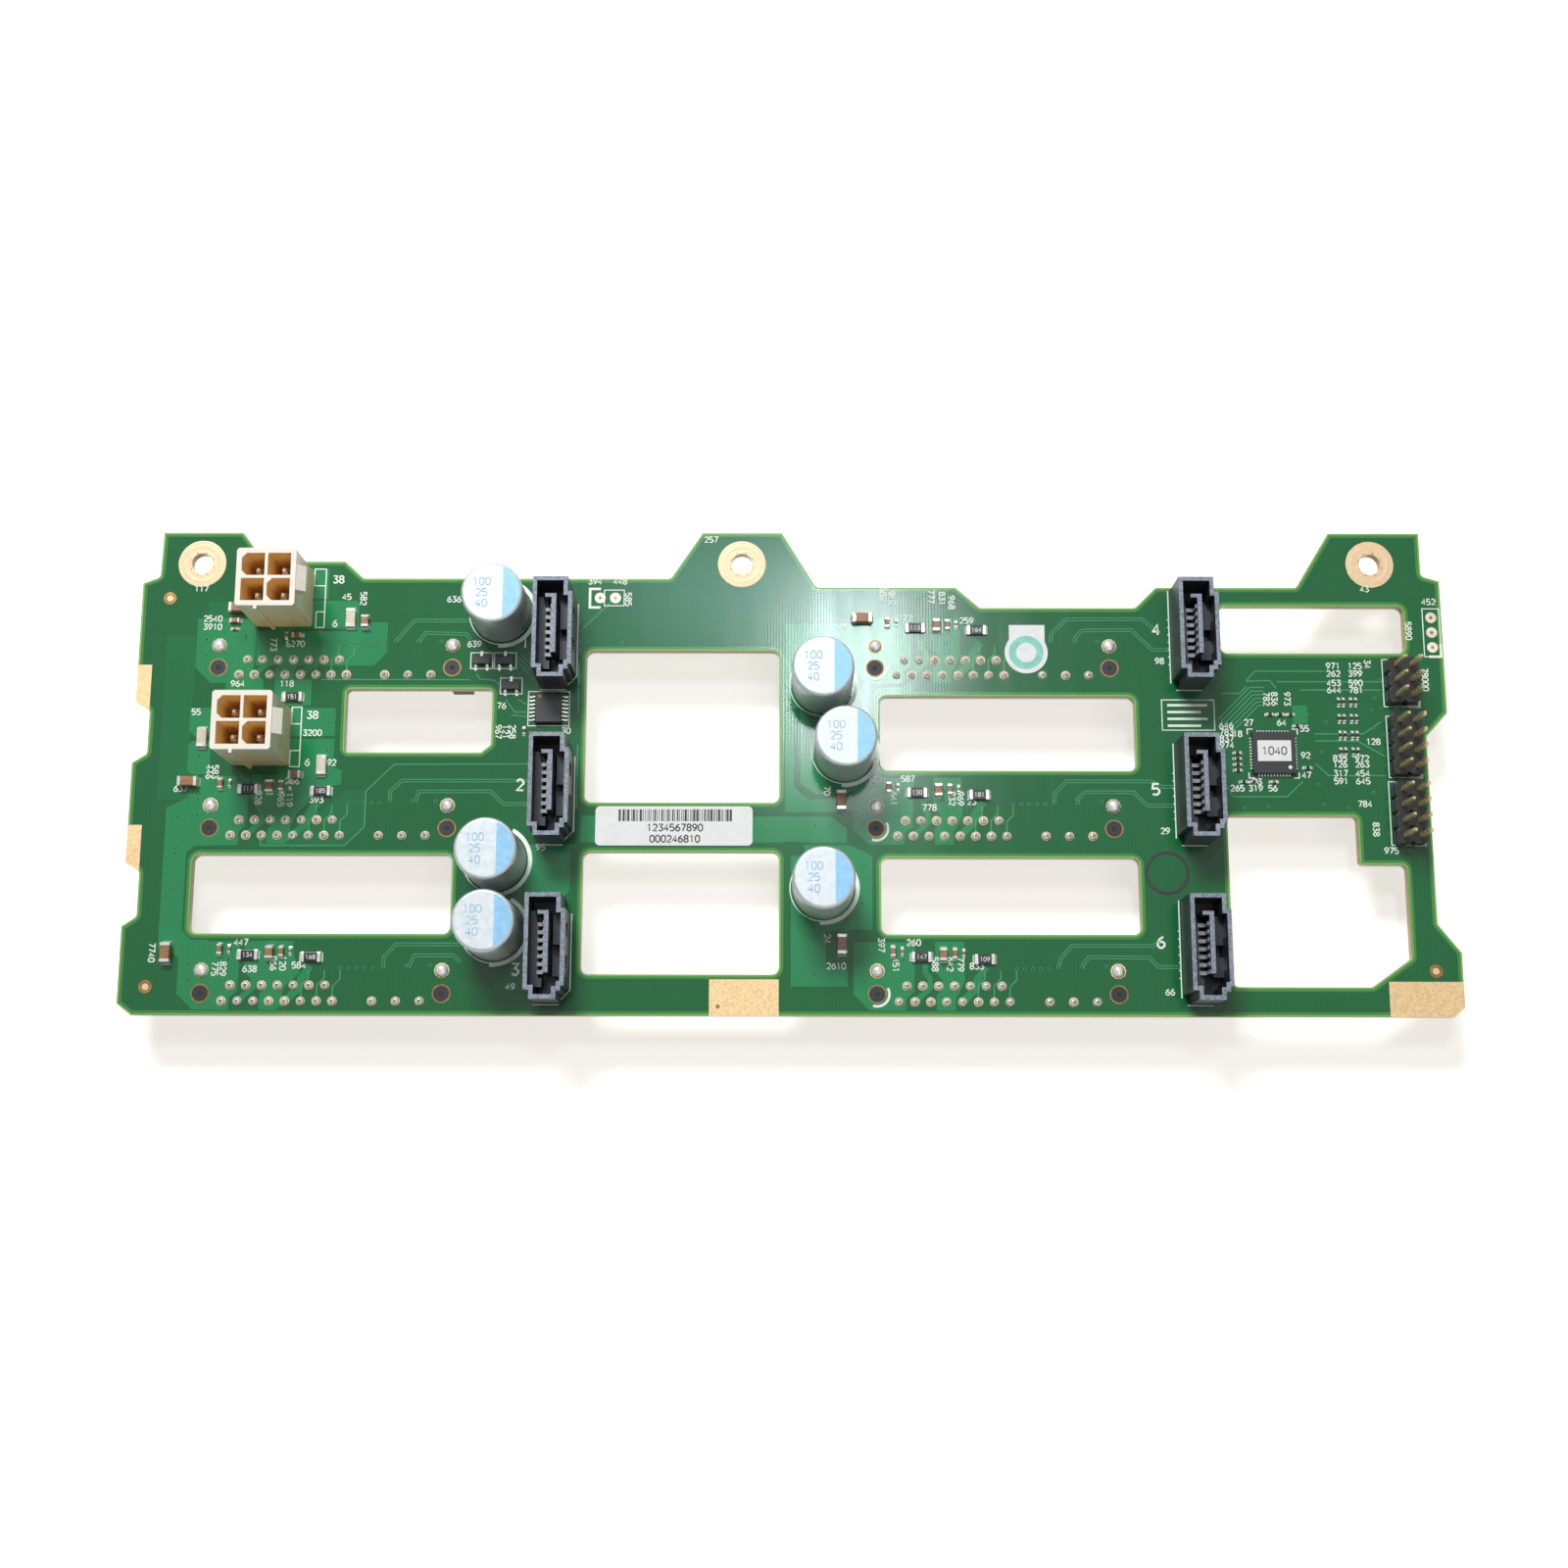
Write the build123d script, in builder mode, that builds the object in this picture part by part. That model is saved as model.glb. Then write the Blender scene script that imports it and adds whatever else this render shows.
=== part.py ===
"""Drive backplane board for six hot swap bays, lying with its cable side up.

Millimetres, +Z up. X runs along the board and Y across it, from the centre of the board's outline.
Z is zero at the mouths of the drive sockets under the board, on which it lies.
"""

import math
import os

from build123d import *

os.makedirs("parts", exist_ok=True)

# Board
board_length = 216.0
board_thickness = 1.6
corner_round = 0.8
land_thickness = 0.06

# Bays, two columns of three, each placed by the first power pin of its drive socket
bay_pitch = 26.95
left_edge_to_first_pin = 16.8
right_edge_to_first_pin = 90.53
bottom_edge_to_pin_row = 2.3
top_row_to_top_edge = 24.5
board_depth = bottom_edge_to_pin_row + 2 * bay_pitch + top_row_to_top_edge

# Drive sockets, which hang below the board
drive_socket_height = 9.0
drive_socket_length = 43.0
drive_bar_width = 6.6
drive_bar_centre = 3.2
guide_width = 8.0
guide_length = 3.4
guide_reach = 0.8
guide_pocket_length = 1.6
guide_pocket_width = 4.4
guide_pocket_depth = 5.5
contact_pitch = 1.27
power_contact_count = 15
signal_contact_count = 7
power_to_signal = 6.35
drive_slot_width = 2.5
drive_slot_depth = 6.2
drive_slot_margin = 1.6
drive_key_length = 1.2
drive_key_width = 1.4
drive_contact_width = 0.7
drive_contact_thickness = 0.2
post_radius = 1.05
post_clearance = 0.25
post_side_count = 8
post_drop = 0.1
post_x = (-3.51, 35.23)
post_y = 1.23
board_lock_x = (-3.48, 35.22)
board_lock_y = 4.96

# Screw holes
mount_hole_radius = 1.75
mount_land_radius = 4.0
mount_land_margin = 0.2
land_side_count = 16
mount_from_top_edge = 5.42
left_mount_from_edge = 9.68
middle_mount_from_right_edge = 116.15
right_mount_from_edge = 11.44

# Seven way data sockets
data_socket_height = 8.4
data_socket_length = 16.75
data_socket_width = 6.45
data_socket_top_width = 5.7
data_shoulder = 2.5
data_foot_left = 0.95
data_foot_right = 5.17
data_left_end = 15.3
data_right_end = 14.7
data_right_step = 15.5
data_step_width = 5.9
data_wall = 0.68
data_floor = 1.5
data_blade_left = 3.05
data_blade_thickness = 0.75
data_blade_start = 2.75
data_blade_end = 12.6
data_blade_drop = 0.5
data_hook_left = 2.0
data_hook_thickness = 0.6
comb_start = 2.46
comb_end = 14.6
comb_narrow_edge = 1.33
comb_solid_edge = 1.93
comb_tooth_edge = 2.5
comb_gap = 0.56
comb_height = 4.6
data_ledge_left = 4.1
data_ledge_height = 4.0
data_ledge_spans = ((3.1, 7.75), (9.7, 12.85))
latch_window_length = 2.2
latch_window_height = 2.8
latch_window_starts = (4.5, 9.7)
data_contact_centre = 8.45
data_contact_left = 1.75
data_contact_width = 0.6
data_contact_thickness = 0.2
data_contact_drop = 1.2
data_socket_bottom_margin = 2.0
left_data_from_first_pin = 49.3
right_data_from_first_pin = 45.53

# Four way power sockets
power_pitch = 4.2
power_socket_width = 9.6
power_socket_height = 12.8
power_floor = 3.0
power_cavity = 3.7
power_cavity_chamfer = 0.8
power_corner = 0.35
power_pin_width = 1.07
power_pin_height = 9.6
power_pin_point = 0.8
latch_width = 4.2
latch_reach = 1.4
latch_top = 12.6
latch_edge = 11.5
latch_bottom = 10.0
power_rib_width = 0.55
power_rib_reach = 0.55
power_rib_offset = 1.5

# Pin headers
upgrade_row_count = 3
signal_row_count = 4
header_pitch = 2.54
header_base_height = 2.54
header_corner = 0.45
header_pin_width = 0.64
header_pin_height = 8.5
header_pin_point = 0.35

# Capacitor cans
can_radius = 5.0
can_height = 12.5
can_bevel = 0.5
can_side_count = 24
can_lead_spacing = 5.0
can_lead_radius = 0.3
can_lead_length = 0.8
can_spacing = 11.35

# Integrated circuits
controller_width = 7.0
controller_height = 0.95
controller_leads_per_side = 11
controller_lead_pitch = 0.5
controller_lead_width = 0.25
controller_lead_reach = 0.35
controller_lead_height = 0.2
driver_width = 4.4
driver_length = 5.0
driver_height = 1.0
driver_leads_per_side = 7
driver_lead_pitch = 0.65
diode_length = 2.9
diode_width = 1.3
diode_height = 0.95
diode_lead_pitch = 1.9
lead_reach = 1.0
lead_width = 0.25
diode_lead_width = 0.42
lead_thickness = 0.15
lead_knee = 0.4
standoff = 0.1
package_bevel = 0.1

# Chip parts: length, width and height of each size, and the length of an end cap
tiny_chip = (1.0, 0.5, 0.4)
small_chip = (1.6, 0.8, 0.8)
middle_chip = (2.0, 1.25, 1.2)
large_chip = (3.2, 1.6, 1.5)
resistor_chip = (3.2, 1.6, 0.6)
fuse_chip = (3.2, 1.6, 0.9)
end_cap_share = 0.18

# Solder
pin_solder_radius = 0.85
pin_solder_tip = 0.4
pin_solder_height = 0.7
lock_solder_radius = 1.15
lock_solder_height = 0.9

# Labels
label_thickness = 0.1
serial_label_width = 6.5
serial_label_end_gap = 3.125
sticker_radius = 3.56
sticker_tab_width = 5.7
sticker_tab_rise = 4.7
controller_label_size = (5.48, 3.46)

# Status lamps on the drive side
lamp_size = (1.6, 0.8, 0.7)
lamp_gap = 3.0

# Heights
board_bottom = drive_socket_height
board_top = board_bottom + board_thickness

# Edges of the board
left = -board_length / 2
right = board_length / 2
bottom = -board_depth / 2
top = board_depth / 2

# Bays from the lower right to the upper left, in the order of their numbers
left_bay_x = left + left_edge_to_first_pin
right_bay_x = right - right_edge_to_first_pin
bay_rows = [bottom + bottom_edge_to_pin_row + row * bay_pitch for row in range(3)]
low_row, middle_row, high_row = bay_rows
bays = [(x, y) for x in (right_bay_x, left_bay_x) for y in bay_rows]

# Data sockets, placed by the upper left corner of each
data_pitch = bay_pitch - 1.0
data_columns = (right_bay_x + right_data_from_first_pin, left_bay_x + left_data_from_first_pin)
lowest_data_top = bottom + data_socket_bottom_margin + data_socket_length
data_sockets = [(x, lowest_data_top + row * data_pitch) for x in data_columns for row in range(3)]
right_data_x, left_data_x = data_columns

# Power sockets, pin headers and capacitor cans, placed by their centres
power_sockets = {
    "upper": (left_bay_x + 6.92, high_row + 13.0),
    "lower": (left_bay_x + 4.22, high_row - 10.55),
}
header_x = right - 7.5
pin_headers = {
    "upgrade": (upgrade_row_count, high_row - 1.25),
    "first_signal": (signal_row_count, high_row - 11.95),
    "second_signal": (signal_row_count, high_row - 23.35),
}
cans = {
    "upper_left": (left_bay_x + 43.2, high_row + 10.55),
    "upper_middle": (right_bay_x - 12.24, high_row - 1.55),
    "centre": (right_bay_x - 8.62, high_row - 1.55 - can_spacing),
    "lower_middle": (right_bay_x - 12.17, middle_row - 8.6),
    "lower_left": (left_bay_x + 43.35, middle_row - 4.1),
    "bottom_left": (left_bay_x + 43.3, middle_row - 4.1 - can_spacing),
}
controller_centre = (right - 28.9, high_row - 13.15)
driver_centre = (left_data_x + 2.1, data_sockets[5][1] - data_socket_length - 3.45)

# Outline, with each notch measured from the edges and the screw hole that it lies beside
middle_hole_x = right - middle_mount_from_right_edge
upper_left_notch = [
    (left + 16.3, top),
    (left + 20.0, top - 5.0),
    (left + 33.6, top - 5.0),
    (left + 36.8, top - 7.95),
    (middle_hole_x - 11.85, top - 7.95),
    (middle_hole_x - 6.6, top),
]
upper_right_notch = [
    (middle_hole_x + 6.7, top),
    (middle_hole_x + 12.4, top - 9.45),
    (right - 80.55, top - 9.45),
    (right - 76.55, top - 12.95),
    (right - 50.75, top - 12.95),
    (right - 47.25, top - 9.45),
    (right - 23.85, top - 9.45),
    (right - 18.1, top),
]
right_side = [
    (right - 3.0, top),
    (right - 3.0, top - 7.4),
    (right, top - 8.3),
    (right, high_row - 6.3),
    (right - 3.65, high_row - 10.25),
    (right - 3.65, bottom + 14.95),
    (right, bottom + 10.35),
    (right, bottom + 1.55),
    (right - 1.8, bottom),
]
left_side = [
    (left + 2.4, bottom),
    (left, bottom + 1.85),
    (left, low_row + 12.0),
    (left + 2.35, low_row + 13.6),
    (left + 2.35, middle_row - 6.0),
    (left, middle_row - 4.6),
    (left, high_row - 14.9),
    (left + 2.4, high_row - 13.4),
    (left + 2.4, high_row - 6.1),
    (left, high_row - 4.7),
    (left, top - 8.85),
    (left + 2.8, top - 7.75),
    (left + 3.0, top),
]
outline = upper_left_notch + upper_right_notch + right_side + left_side

# Air windows: left, right, lower and upper edge of each plain one
window_round = 1.2
side_window_left = right_bay_x - 2.75
side_window_right = right_bay_x + 39.15
middle_window_left = left_data_x + data_socket_width + 1.75
middle_window_right = right_bay_x - 19.3
far_window_left = right_data_x + data_socket_width + 1.7
windows = [
    (side_window_left, side_window_right, middle_row + 10.87, high_row - 3.6),
    (side_window_left, side_window_right, low_row + 10.87, middle_row - 3.6),
    (left_bay_x - 5.9, left_bay_x + 36.3, low_row + 10.85, middle_row - 3.2),
    (middle_window_left, middle_window_right, middle_row + 5.5, high_row + 4.1),
    (middle_window_left, middle_window_right, bottom + 6.65, middle_row - 2.7),
    (far_window_left, right - 6.3, high_row + 3.78, high_row + 11.85),
]
# The two windows that aren't plain rectangles
upper_left_window = [
    (left_bay_x + 17.95, high_row - 2.45),
    (left_bay_x + 42.05, high_row - 2.45),
    (left_bay_x + 42.05, middle_row + 15.1),
    (left_bay_x + 40.35, middle_row + 13.8),
    (left_bay_x + 17.95, middle_row + 13.8),
]
lower_right_window = [
    (far_window_left, high_row - 23.6),
    (right - 15.65, high_row - 23.6),
    (right - 15.65, high_row - 31.6),
    (right - 8.05, high_row - 31.6),
    (right - 8.05, bottom + 9.4),
    (right - 14.6, bottom + 4.75),
    (far_window_left, bottom + 4.75),
]

mount_holes = [
    (left + left_mount_from_edge, top - mount_from_top_edge),
    (middle_hole_x, top - mount_from_top_edge),
    (right - right_mount_from_edge, top - mount_from_top_edge),
]
post_places = [(x + dx, y + post_y) for x, y in bays for dx in post_x]
lock_places = [(x + dx, y + board_lock_y) for x, y in bays for dx in board_lock_x]


# Outline of the board: growing and shrinking it rounds only the corners that a cutter leaves round
with BuildSketch() as board_outline:
    with BuildLine():
        Polyline(*outline, close=True)
    make_face()
    offset(amount=corner_round, kind=Kind.INTERSECTION, mode=Mode.REPLACE)
    offset(amount=-corner_round, kind=Kind.ARC, mode=Mode.REPLACE)

# Printed circuit board with its air windows and the holes for posts and screws

with BuildPart() as circuit_board:
    with BuildSketch(Plane.XY.offset(board_bottom)):
        add(board_outline.sketch)
        for window_left, window_right, window_low, window_high in windows:
            with Locations(((window_left + window_right) / 2, (window_low + window_high) / 2)):
                RectangleRounded(
                    window_right - window_left,
                    window_high - window_low,
                    window_round,
                    mode=Mode.SUBTRACT,
                )
        for corners in (upper_left_window, lower_right_window):
            with BuildSketch(mode=Mode.PRIVATE) as odd_window:
                with BuildLine():
                    Polyline(*corners, close=True)
                make_face()
                fillet(odd_window.vertices(), radius=corner_round)
            add(odd_window.sketch, mode=Mode.SUBTRACT)
        with Locations(*mount_holes):
            Circle(mount_hole_radius, mode=Mode.SUBTRACT)
        with Locations(*post_places):
            RegularPolygon(post_radius + post_clearance, post_side_count, mode=Mode.SUBTRACT)
    extrude(amount=board_thickness)
circuit_board.part.label = "circuit_board"
export_step(circuit_board.part, "parts/circuit_board.step")

# Gold rings round the screw holes
with BuildPart() as mounting_lands:
    with BuildSketch(Plane.XY.offset(board_top)):
        with Locations(*mount_holes):
            RegularPolygon(mount_land_radius, land_side_count)
            RegularPolygon(mount_hole_radius + mount_land_margin, land_side_count, mode=Mode.SUBTRACT)
    extrude(amount=land_thickness)
mounting_lands.part.label = "mounting_lands"
export_step(mounting_lands.part, "parts/mounting_lands.step")

# Drive socket: a bar with two keyed slots between two guide towers, with posts into the board
power_row_length = (power_contact_count - 1) * contact_pitch
signal_start = power_row_length + power_to_signal
signal_row_length = (signal_contact_count - 1) * contact_pitch
contact_rows_end = signal_start + signal_row_length
socket_middle = contact_rows_end / 2
slot_spans = [
    (-drive_slot_margin, power_row_length + drive_slot_margin),
    (signal_start - drive_slot_margin, contact_rows_end + drive_slot_margin),
]
tower_middles = [
    socket_middle + side * (drive_socket_length - guide_length) / 2 for side in (-1, 1)
]
with BuildPart() as drive_socket:
    with BuildSketch(Plane.XY.offset(guide_reach)):
        with Locations((socket_middle, drive_bar_centre)):
            Rectangle(drive_socket_length - 2 * guide_length, drive_bar_width)
    extrude(amount=drive_socket_height - guide_reach)
    with BuildSketch():
        with Locations(*[(x, drive_bar_centre) for x in tower_middles]):
            Rectangle(guide_length, guide_width)
    extrude(amount=drive_socket_height)
    with BuildSketch():
        with Locations(*[(x, drive_bar_centre) for x in tower_middles]):
            Rectangle(guide_pocket_length, guide_pocket_width)
    extrude(amount=guide_pocket_depth, mode=Mode.SUBTRACT)
    with BuildSketch(Plane.XY.offset(guide_reach)):
        for slot_left, slot_right in slot_spans:
            with Locations(((slot_left + slot_right) / 2, drive_bar_centre)):
                Rectangle(slot_right - slot_left, drive_slot_width)
            key_y = drive_bar_centre + (drive_slot_width + drive_key_width) / 2
            with Locations((slot_left + drive_key_length / 2, key_y)):
                Rectangle(drive_key_length, drive_key_width)
    extrude(amount=drive_slot_depth, mode=Mode.SUBTRACT)
    with BuildSketch(Plane.XY.offset(board_bottom)):
        with Locations(*[(x, post_y) for x in post_x]):
            RegularPolygon(post_radius, post_side_count)
    extrude(amount=board_thickness - post_drop)

# Contacts along one wall of the drive socket's slots
contact_places = [i * contact_pitch for i in range(power_contact_count)]
contact_places += [signal_start + i * contact_pitch for i in range(signal_contact_count)]
drive_contact_y = drive_bar_centre - (drive_slot_width - drive_contact_thickness) / 2
with BuildPart() as drive_contacts:
    with BuildSketch(Plane.XY.offset(guide_reach + drive_contact_width)):
        with Locations(*[(x, drive_contact_y) for x in contact_places]):
            Rectangle(drive_contact_width, drive_contact_thickness)
    extrude(amount=drive_slot_depth - drive_contact_width)

# Data socket: a stepped shroud round an L shaped tongue, with a comb of teeth between the contacts
# on the tongue's left, a ledge in two lengths on its right and latch windows in the right wall
data_contact_places = [
    -data_contact_centre - (i - (signal_contact_count - 1) / 2) * contact_pitch
    for i in range(signal_contact_count)
]
comb_gap_places = [y - contact_pitch / 2 for y in data_contact_places]
with BuildPart() as data_socket:
    with BuildSketch(Plane.XY.offset(board_top)) as data_plan:
        with BuildLine():
            Polyline(
                (0, 0),
                (data_socket_top_width, 0),
                (data_socket_top_width, -data_shoulder),
                (data_socket_width, -data_shoulder),
                (data_socket_width, -data_right_end),
                (data_step_width, -data_right_end),
                (data_step_width, -data_right_step),
                (data_foot_right, -data_right_step),
                (data_foot_right, -data_socket_length),
                (data_foot_left, -data_socket_length),
                (data_foot_left, -data_left_end),
                (0, -data_left_end),
                close=True,
            )
        make_face()
    extrude(amount=data_socket_height)
    with BuildSketch(Plane.XY.offset(board_top + data_floor)):
        add(data_plan.sketch_local)
        offset(amount=-data_wall, kind=Kind.INTERSECTION, mode=Mode.REPLACE)
    extrude(amount=data_socket_height - data_floor, mode=Mode.SUBTRACT)
    with BuildSketch(Plane.XY.offset(board_top + data_floor)):
        with Locations((data_blade_left, -data_blade_start)):
            Rectangle(
                data_blade_thickness,
                data_blade_end - data_blade_start,
                align=(Align.MIN, Align.MAX),
            )
        with Locations((data_hook_left, -data_blade_start)):
            Rectangle(
                data_blade_left + data_blade_thickness - data_hook_left,
                data_hook_thickness,
                align=(Align.MIN, Align.MAX),
            )
    extrude(amount=data_socket_height - data_floor - data_blade_drop)
    with BuildSketch(Plane.XY.offset(board_top + data_floor)):
        with BuildLine():
            Polyline(
                (data_wall, -comb_start),
                (comb_narrow_edge, -comb_start),
                (comb_solid_edge, comb_gap_places[0] + comb_gap / 2),
                (comb_solid_edge, comb_gap_places[0] - comb_gap / 2),
                (comb_tooth_edge, comb_gap_places[0] - comb_gap / 2),
                (comb_tooth_edge, -comb_end),
                (data_wall, -comb_end),
                close=True,
            )
        make_face()
        with Locations(*[(comb_tooth_edge, y) for y in comb_gap_places[1:]]):
            Rectangle(
                comb_tooth_edge - comb_solid_edge,
                comb_gap,
                align=(Align.MAX, Align.CENTER),
                mode=Mode.SUBTRACT,
            )
    extrude(amount=comb_height - data_floor)
    with BuildSketch(Plane.XY.offset(board_top + data_floor)):
        for span_start, span_end in data_ledge_spans:
            with Locations((data_ledge_left, -span_start)):
                Rectangle(
                    data_socket_width - data_wall - data_ledge_left,
                    span_end - span_start,
                    align=(Align.MIN, Align.MAX),
                )
    extrude(amount=data_ledge_height - data_floor)
    with BuildSketch(Plane.XY.offset(board_top + data_ledge_height)):
        with Locations(*[(data_socket_width, -start) for start in latch_window_starts]):
            Rectangle(2 * data_wall, latch_window_length, align=(Align.MAX, Align.MAX))
    extrude(amount=latch_window_height, mode=Mode.SUBTRACT)

# Seven contacts of a data socket, each flat on the tongue with an arm over to a tooth of the comb
contact_top = data_socket_height - data_contact_drop
with BuildPart() as data_contacts:
    for contact_left, contact_height in (
        (data_contact_left, data_contact_thickness),
        (data_blade_left - data_contact_thickness, contact_top - comb_height),
    ):
        with BuildSketch(Plane.XY.offset(board_top + comb_height)):
            with Locations(*[(data_blade_left, y) for y in data_contact_places]):
                Rectangle(
                    data_blade_left - contact_left,
                    data_contact_width,
                    align=(Align.MAX, Align.CENTER),
                )
        extrude(amount=contact_height)

for number, (bay, socket) in enumerate(zip(bays, data_sockets)):
    for piece, name, place in (
        (drive_socket, "drive_socket", bay),
        (drive_contacts, "drive_contacts", bay),
        (data_socket, "data_socket", socket),
        (data_contacts, "data_contacts", socket),
    ):
        placed = piece.part.moved(Location((*place, 0)))
        placed.label = f"{name}_{number}"
        export_step(placed, f"parts/{name}_{number}.step")

# Power socket: four deep cavities, a latch ramp on the right and a polarising rib below
cells = [(x, y) for x in (-power_pitch / 2, power_pitch / 2) for y in (-power_pitch / 2, power_pitch / 2)]
keyed_cells = (cells[1], cells[2])
square_cells = (cells[0], cells[3])
half_socket = power_socket_width / 2
with BuildPart() as power_socket:
    with BuildSketch(Plane.XY.offset(board_top)) as power_plan:
        Rectangle(power_socket_width, power_socket_width)
        chamfer(power_plan.vertices(), length=power_corner)
        with Locations((-power_rib_offset, -half_socket)):
            Rectangle(power_rib_width, 2 * power_rib_reach)
    extrude(amount=power_socket_height)
    with BuildSketch(Plane.XZ):
        with BuildLine():
            Polyline(
                (half_socket, board_top + latch_top),
                (half_socket + latch_reach, board_top + latch_edge),
                (half_socket + latch_reach, board_top + latch_bottom),
                (half_socket, board_top + latch_bottom),
                close=True,
            )
        make_face()
    extrude(amount=latch_width / 2, both=True)
    with BuildSketch(Plane.XY.offset(board_top + power_floor)):
        with Locations(*square_cells):
            Rectangle(power_cavity, power_cavity)
        for cell in keyed_cells:
            with BuildSketch(mode=Mode.PRIVATE) as keyed_cavity:
                Rectangle(power_cavity, power_cavity)
                chamfer(
                    keyed_cavity.vertices().group_by(Axis.X)[0], length=power_cavity_chamfer
                )
            with Locations(cell):
                add(keyed_cavity.sketch)
    extrude(amount=power_socket_height - power_floor, mode=Mode.SUBTRACT)
    with BuildSketch(Plane.XY.offset(board_top)):
        with Locations(*cells):
            Rectangle(power_pin_width, power_pin_width)
    extrude(amount=power_floor, mode=Mode.SUBTRACT)

# Four square pins with points
with BuildPart() as power_pins:
    with BuildSketch(Plane.XY.offset(board_top)):
        with Locations(*cells):
            Rectangle(power_pin_width, power_pin_width)
    extrude(amount=power_pin_height - power_pin_point)
    with BuildSketch(Plane.XY.offset(board_top + power_pin_height - power_pin_point)):
        with Locations(*cells):
            Rectangle(power_pin_width, power_pin_width)
    extrude(amount=power_pin_point, taper=20)

for name, place in power_sockets.items():
    for piece, kind in ((power_socket, "power_socket"), (power_pins, "power_pins")):
        placed = piece.part.moved(Location((*place, 0)))
        placed.label = f"{name}_{kind}"
        export_step(placed, f"parts/{name}_{kind}.step")

# Pin headers: a base of chamfered cells with a square hole for each pin
for name, (rows, header_y) in pin_headers.items():
    with BuildPart() as pin_header:
        with BuildSketch(Plane.XY.offset(board_top)):
            with BuildSketch(mode=Mode.PRIVATE) as header_cell:
                Rectangle(header_pitch, header_pitch)
                chamfer(header_cell.vertices(), length=header_corner)
            with Locations((header_x, header_y)):
                with GridLocations(header_pitch, header_pitch, 2, rows):
                    add(header_cell.sketch)
                    Rectangle(header_pin_width, header_pin_width, mode=Mode.SUBTRACT)
        extrude(amount=header_base_height)
    pin_header.part.label = f"{name}_header"
    export_step(pin_header.part, f"parts/{name}_header.step")

header_pin_places = [
    (header_x + side * header_pitch / 2, header_y + (row - (rows - 1) / 2) * header_pitch)
    for rows, header_y in pin_headers.values()
    for row in range(rows)
    for side in (-1, 1)
]
with BuildPart() as header_pins:
    with BuildSketch(Plane.XY.offset(board_top)):
        with Locations(*header_pin_places):
            Rectangle(header_pin_width, header_pin_width)
    extrude(amount=header_pin_height - header_pin_point)
    with BuildSketch(Plane.XY.offset(board_top + header_pin_height - header_pin_point)):
        with Locations(*header_pin_places):
            Rectangle(header_pin_width, header_pin_width)
    extrude(amount=header_pin_point, taper=25)
header_pins.part.label = "header_pins"
export_step(header_pins.part, "parts/header_pins.step")

# Capacitor can with a bevelled top edge
with BuildPart() as can:
    with BuildSketch(Plane.XY.offset(board_top)):
        RegularPolygon(can_radius, can_side_count)
    extrude(amount=can_height - can_bevel)
    with BuildSketch(Plane.XY.offset(board_top + can_height - can_bevel)):
        RegularPolygon(can_radius, can_side_count)
    extrude(amount=can_bevel, taper=45)

for name, place in cans.items():
    placed = can.part.moved(Location((*place, 0)))
    placed.label = f"{name}_can"
    export_step(placed, f"parts/{name}_can.step")

# Clipped ends of the cans' leads, below their solder
can_lead_places = [
    (x + side * can_lead_spacing / 2, y) for x, y in cans.values() for side in (-1, 1)
]
with BuildPart() as can_leads:
    with BuildSketch(Plane.XY.offset(board_bottom - pin_solder_height - can_lead_length)):
        with Locations(*can_lead_places):
            RegularPolygon(can_lead_radius, 4)
    extrude(amount=can_lead_length)
can_leads.part.label = "can_leads"
export_step(can_leads.part, "parts/can_leads.step")

# Controller package, with a bevelled top, and its leads on four sides
with BuildPart() as controller_body:
    with BuildSketch(Plane.XY.offset(board_top)):
        with Locations(controller_centre):
            Rectangle(controller_width, controller_width)
    extrude(amount=controller_height)
    chamfer(controller_body.edges().group_by(Axis.Z)[-1], length=package_bevel)
controller_body.part.label = "controller_body"
export_step(controller_body.part, "parts/controller_body.step")

lead_row = [
    (i - (controller_leads_per_side - 1) / 2) * controller_lead_pitch
    for i in range(controller_leads_per_side)
]
lead_distance = (controller_width + controller_lead_reach) / 2
with BuildPart() as controller_leads:
    with BuildSketch(Plane.XY.offset(board_top)):
        for side in (-1, 1):
            edge = side * lead_distance
            cx, cy = controller_centre
            with Locations(*[(cx + step, cy + edge) for step in lead_row]):
                Rectangle(controller_lead_width, controller_lead_reach)
            with Locations(*[(cx + edge, cy + step) for step in lead_row]):
                Rectangle(controller_lead_reach, controller_lead_width)
    extrude(amount=controller_lead_height)
controller_leads.part.label = "controller_leads"
export_step(controller_leads.part, "parts/controller_leads.step")

# Driver package
with BuildPart() as driver_body:
    with BuildSketch(Plane.XY.offset(board_top + standoff)):
        with Locations(driver_centre):
            Rectangle(driver_width, driver_length)
    extrude(amount=driver_height - standoff)
    chamfer(driver_body.edges().group_by(Axis.Z)[-1], length=package_bevel)
driver_body.part.label = "driver_body"
export_step(driver_body.part, "parts/driver_body.step")


def gull_wing(body_edge, shoulder, reach, width):
    """A bent lead that leaves a body's edge at shoulder height and ends flat on the board."""
    with BuildPart() as lead:
        with BuildSketch(Plane.XZ):
            with BuildLine():
                Polyline(
                    (body_edge, board_top + shoulder),
                    (body_edge + lead_knee, board_top + shoulder),
                    (body_edge + lead_knee, board_top + lead_thickness),
                    (body_edge + reach, board_top + lead_thickness),
                    (body_edge + reach, board_top),
                    (body_edge + lead_knee - lead_thickness, board_top),
                    (body_edge + lead_knee - lead_thickness, board_top + shoulder - lead_thickness),
                    (body_edge, board_top + shoulder - lead_thickness),
                    close=True,
                )
            make_face()
        extrude(amount=width / 2, both=True)
    return lead.part


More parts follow.
